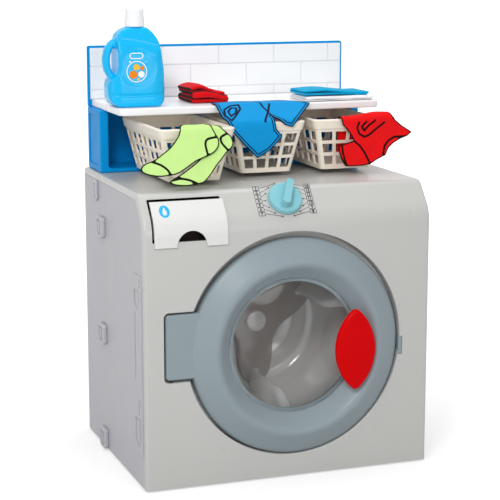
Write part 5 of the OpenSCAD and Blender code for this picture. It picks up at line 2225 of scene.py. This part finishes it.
        obj = new_mesh(f.name, verts, faces=grid_faces(len(line), cols + 1))
        marks = np.concatenate([[0.0], np.cumsum(np.hypot(*np.diff(np.array(line), axis=0).T))])
        middle = length / 2
        ink = [min(abs(marks[i] - middle - 4) + 0.4, abs(marks[i] - middle + 4) + 0.4,
            (j / cols) * width + 0.9, (1 - j / cols) * width + 0.9)
            for i in range(len(line)) for j in range(cols + 1)]
        obj.data.attributes.new("ink", "FLOAT", "POINT").data.foreach_set("value", ink)
        apply(obj, "SOLIDIFY", thickness=pitch * 0.72 * MM, offset=0.0)
        apply(obj, "SUBSURF", levels=1, render_levels=1)
        settle(smooth(obj, 60), f.look, "cabinet", f.slot, f.node)


# ---- carried-over parts


class Dresser:
    """Gives the carried-over hard parts their finishes."""

    LOOKS = {
        Look.SIDE: ("rear_panel", "base_panel", "battery_box", "battery_cover", "bearing_bracket"),
        # The drawer sleeve is dark as painted shade in the gaps round the drawer.
        Look.SHADOW: ("drawer_sleeve",),
        Look.SEAL: ("feet", "door_seal"),
        Look.STEEL: ("panel_screws", "battery_screw", "door_screws", "drum_axle", "axle_clip"),
        # The hinge pin is black as painted shade, so that it sinks into the dark gap by the hinge.
        Look.DARK: ("sound_module", "speaker", "door_latch", "hinge_pin"),
        Look.RING: ("door_back_ring",),
        Look.CELL: ("batteries",),
        Look.KNOB: ("knob_shaft",),
    }

    @staticmethod
    def dress(nodes: dict[str, Obj]) -> None:
        """Assign each node's finish.

        Args:
            nodes: The frame's nodes by name.
        """
        for look, names in Dresser.LOOKS.items():
            for name in names:
                obj = nodes[name]
                obj.data.materials.clear()
                obj.data.materials.append(PAINT.get(look))
                smooth(obj, 30)


# ---- studio


class Studio:
    """Camera, lamps, white surroundings and the floor."""

    TARGET = Vector((-0.0032, 0.0, 0.2818))
    AZIMUTH, ELEVATION, DISTANCE = -19.9, 10.8, 2.204
    LENS = 113.98

    def build(self) -> None:
        """Set up everything round the toy."""
        bpy.context.scene.view_settings.view_transform = "Standard"
        self._camera()
        self._world()
        self._lamps()
        self._floor()

    def _camera(self) -> None:
        """A long lens, a little left of the toy and above it."""
        az, el = radians(self.AZIMUTH), radians(self.ELEVATION)
        away = Vector((sin(az) * cos(el), -cos(az) * cos(el), sin(el)))
        data = bpy.data.cameras.new("camera")
        data.lens, data.sensor_width = self.LENS, 36.0
        data.clip_start, data.clip_end = 0.05, 50.0
        camera = link("camera", data)
        camera.location = self.TARGET + away * self.DISTANCE
        camera.rotation_euler = (-away).to_track_quat("-Z", "Y").to_euler()
        bpy.context.scene.camera = camera

    def _world(self) -> None:
        """White to the camera and to reflections, and softer as a light."""
        world = bpy.data.worlds.new("surroundings")
        bpy.context.scene.world = world
        nodes = NodeTree(world)
        bright = nodes.add("MapRange", {"Value": Studio._seen(nodes), "To Min": 0.55, "To Max": 1.0})
        light = nodes.add("Background", {"Color": (1, 1, 1, 1), "Strength": bright.outputs["Result"]})
        nodes.add("OutputWorld", {"Surface": light.outputs[0]})

    @staticmethod
    def _seen(nodes: NodeTree) -> bpy.types.NodeSocket:
        """1 where the camera, a reflection or a clear piece looks, and 0 for plain light.

        Args:
            nodes: The tree.

        Returns:
            The switch.
        """
        path = nodes.add("LightPath")
        seen = nodes.add("Math", {0: path.outputs["Is Camera Ray"], 1: path.outputs["Is Glossy Ray"]},
            operation="MAXIMUM")
        return nodes.add("Math", {0: seen.outputs[0], 1: path.outputs["Is Transmission Ray"]},
            operation="MAXIMUM").outputs[0]

    @staticmethod
    def _lamp(name: str, place: Point3, aim: Point3, size: float, power: float) -> None:
        """A round soft lamp.

        Args:
            name: Its name.
            place: Its place in metres.
            aim: The point it faces.
            size: Its width.
            power: Its power in watts.
        """
        data = bpy.data.lights.new(name, "AREA")
        data.shape, data.size, data.energy = "DISK", size, power
        lamp = link(name, data)
        lamp.location = place
        lamp.rotation_euler = (Vector(aim) - Vector(place)).to_track_quat("-Z", "Y").to_euler()

    def _lamps(self) -> None:
        """A key lamp on the left, two soft fills and a top lamp."""
        self._lamp("key", (-0.85, -1.35, 1.35), (0, 0, 0.25), 0.5, 12.5)
        self._lamp("front", (0.35, -2.4, 0.62), (0, 0, 0.35), 0.7, 6)
        self._lamp("fill", (-1.9, -0.7, 0.6), (0, 0, 0.15), 1, 4)
        self._lamp("top", (0.1, 0.2, 1.9), (0, 0, 0.3), 1.1, 9)

    def _floor(self) -> None:
        """A pale floor that keeps the toy's shadow and turns white away from it."""
        deselect()
        bpy.ops.mesh.primitive_plane_add(size=30, location=(0, 0, 0))
        floor = bpy.context.object
        floor.name = "floor"
        material = bpy.data.materials.new("Studio floor")
        nodes = NodeTree(material)
        coord = nodes.add("TexCoord").outputs["Object"]
        away = nodes.add("VectorMath", {0: coord}, operation="LENGTH").outputs["Value"]
        lift = nodes.add("MapRange", {"Value": away, "From Min": 0.25, "From Max": 1.6, "To Min": 0.5,
            "To Max": 1.0})
        glow = nodes.add("Math", {0: lift.outputs["Result"], 1: self._seen(nodes)}, operation="MULTIPLY")
        paint = nodes.add("BsdfDiffuse", {"Color": (0.6, 0.6, 0.6, 1.0)})
        white = nodes.add("Emission", {"Color": (1, 1, 1, 1), "Strength": glow.outputs[0]})
        both = nodes.add("AddShader", {0: paint.outputs[0], 1: white.outputs[0]})
        nodes.add("OutputMaterial", {"Surface": both.outputs[0]})
        floor.data.materials.append(material)


def main() -> None:
    """Build the whole scene."""
    logging.basicConfig(level=logging.INFO, format="%(message)s")
    for builder in (Studio, CabinetBuilder, DoorBuilder, DrumBuilder, ControlBuilder, HutchBuilder,
            BasketBuilder, BottleBuilder, LaundryBuilder):
        builder().build()
    Dresser.dress(frame["nodes"])
    bpy.context.view_layer.update()


if __name__ == "__main__":
    main()
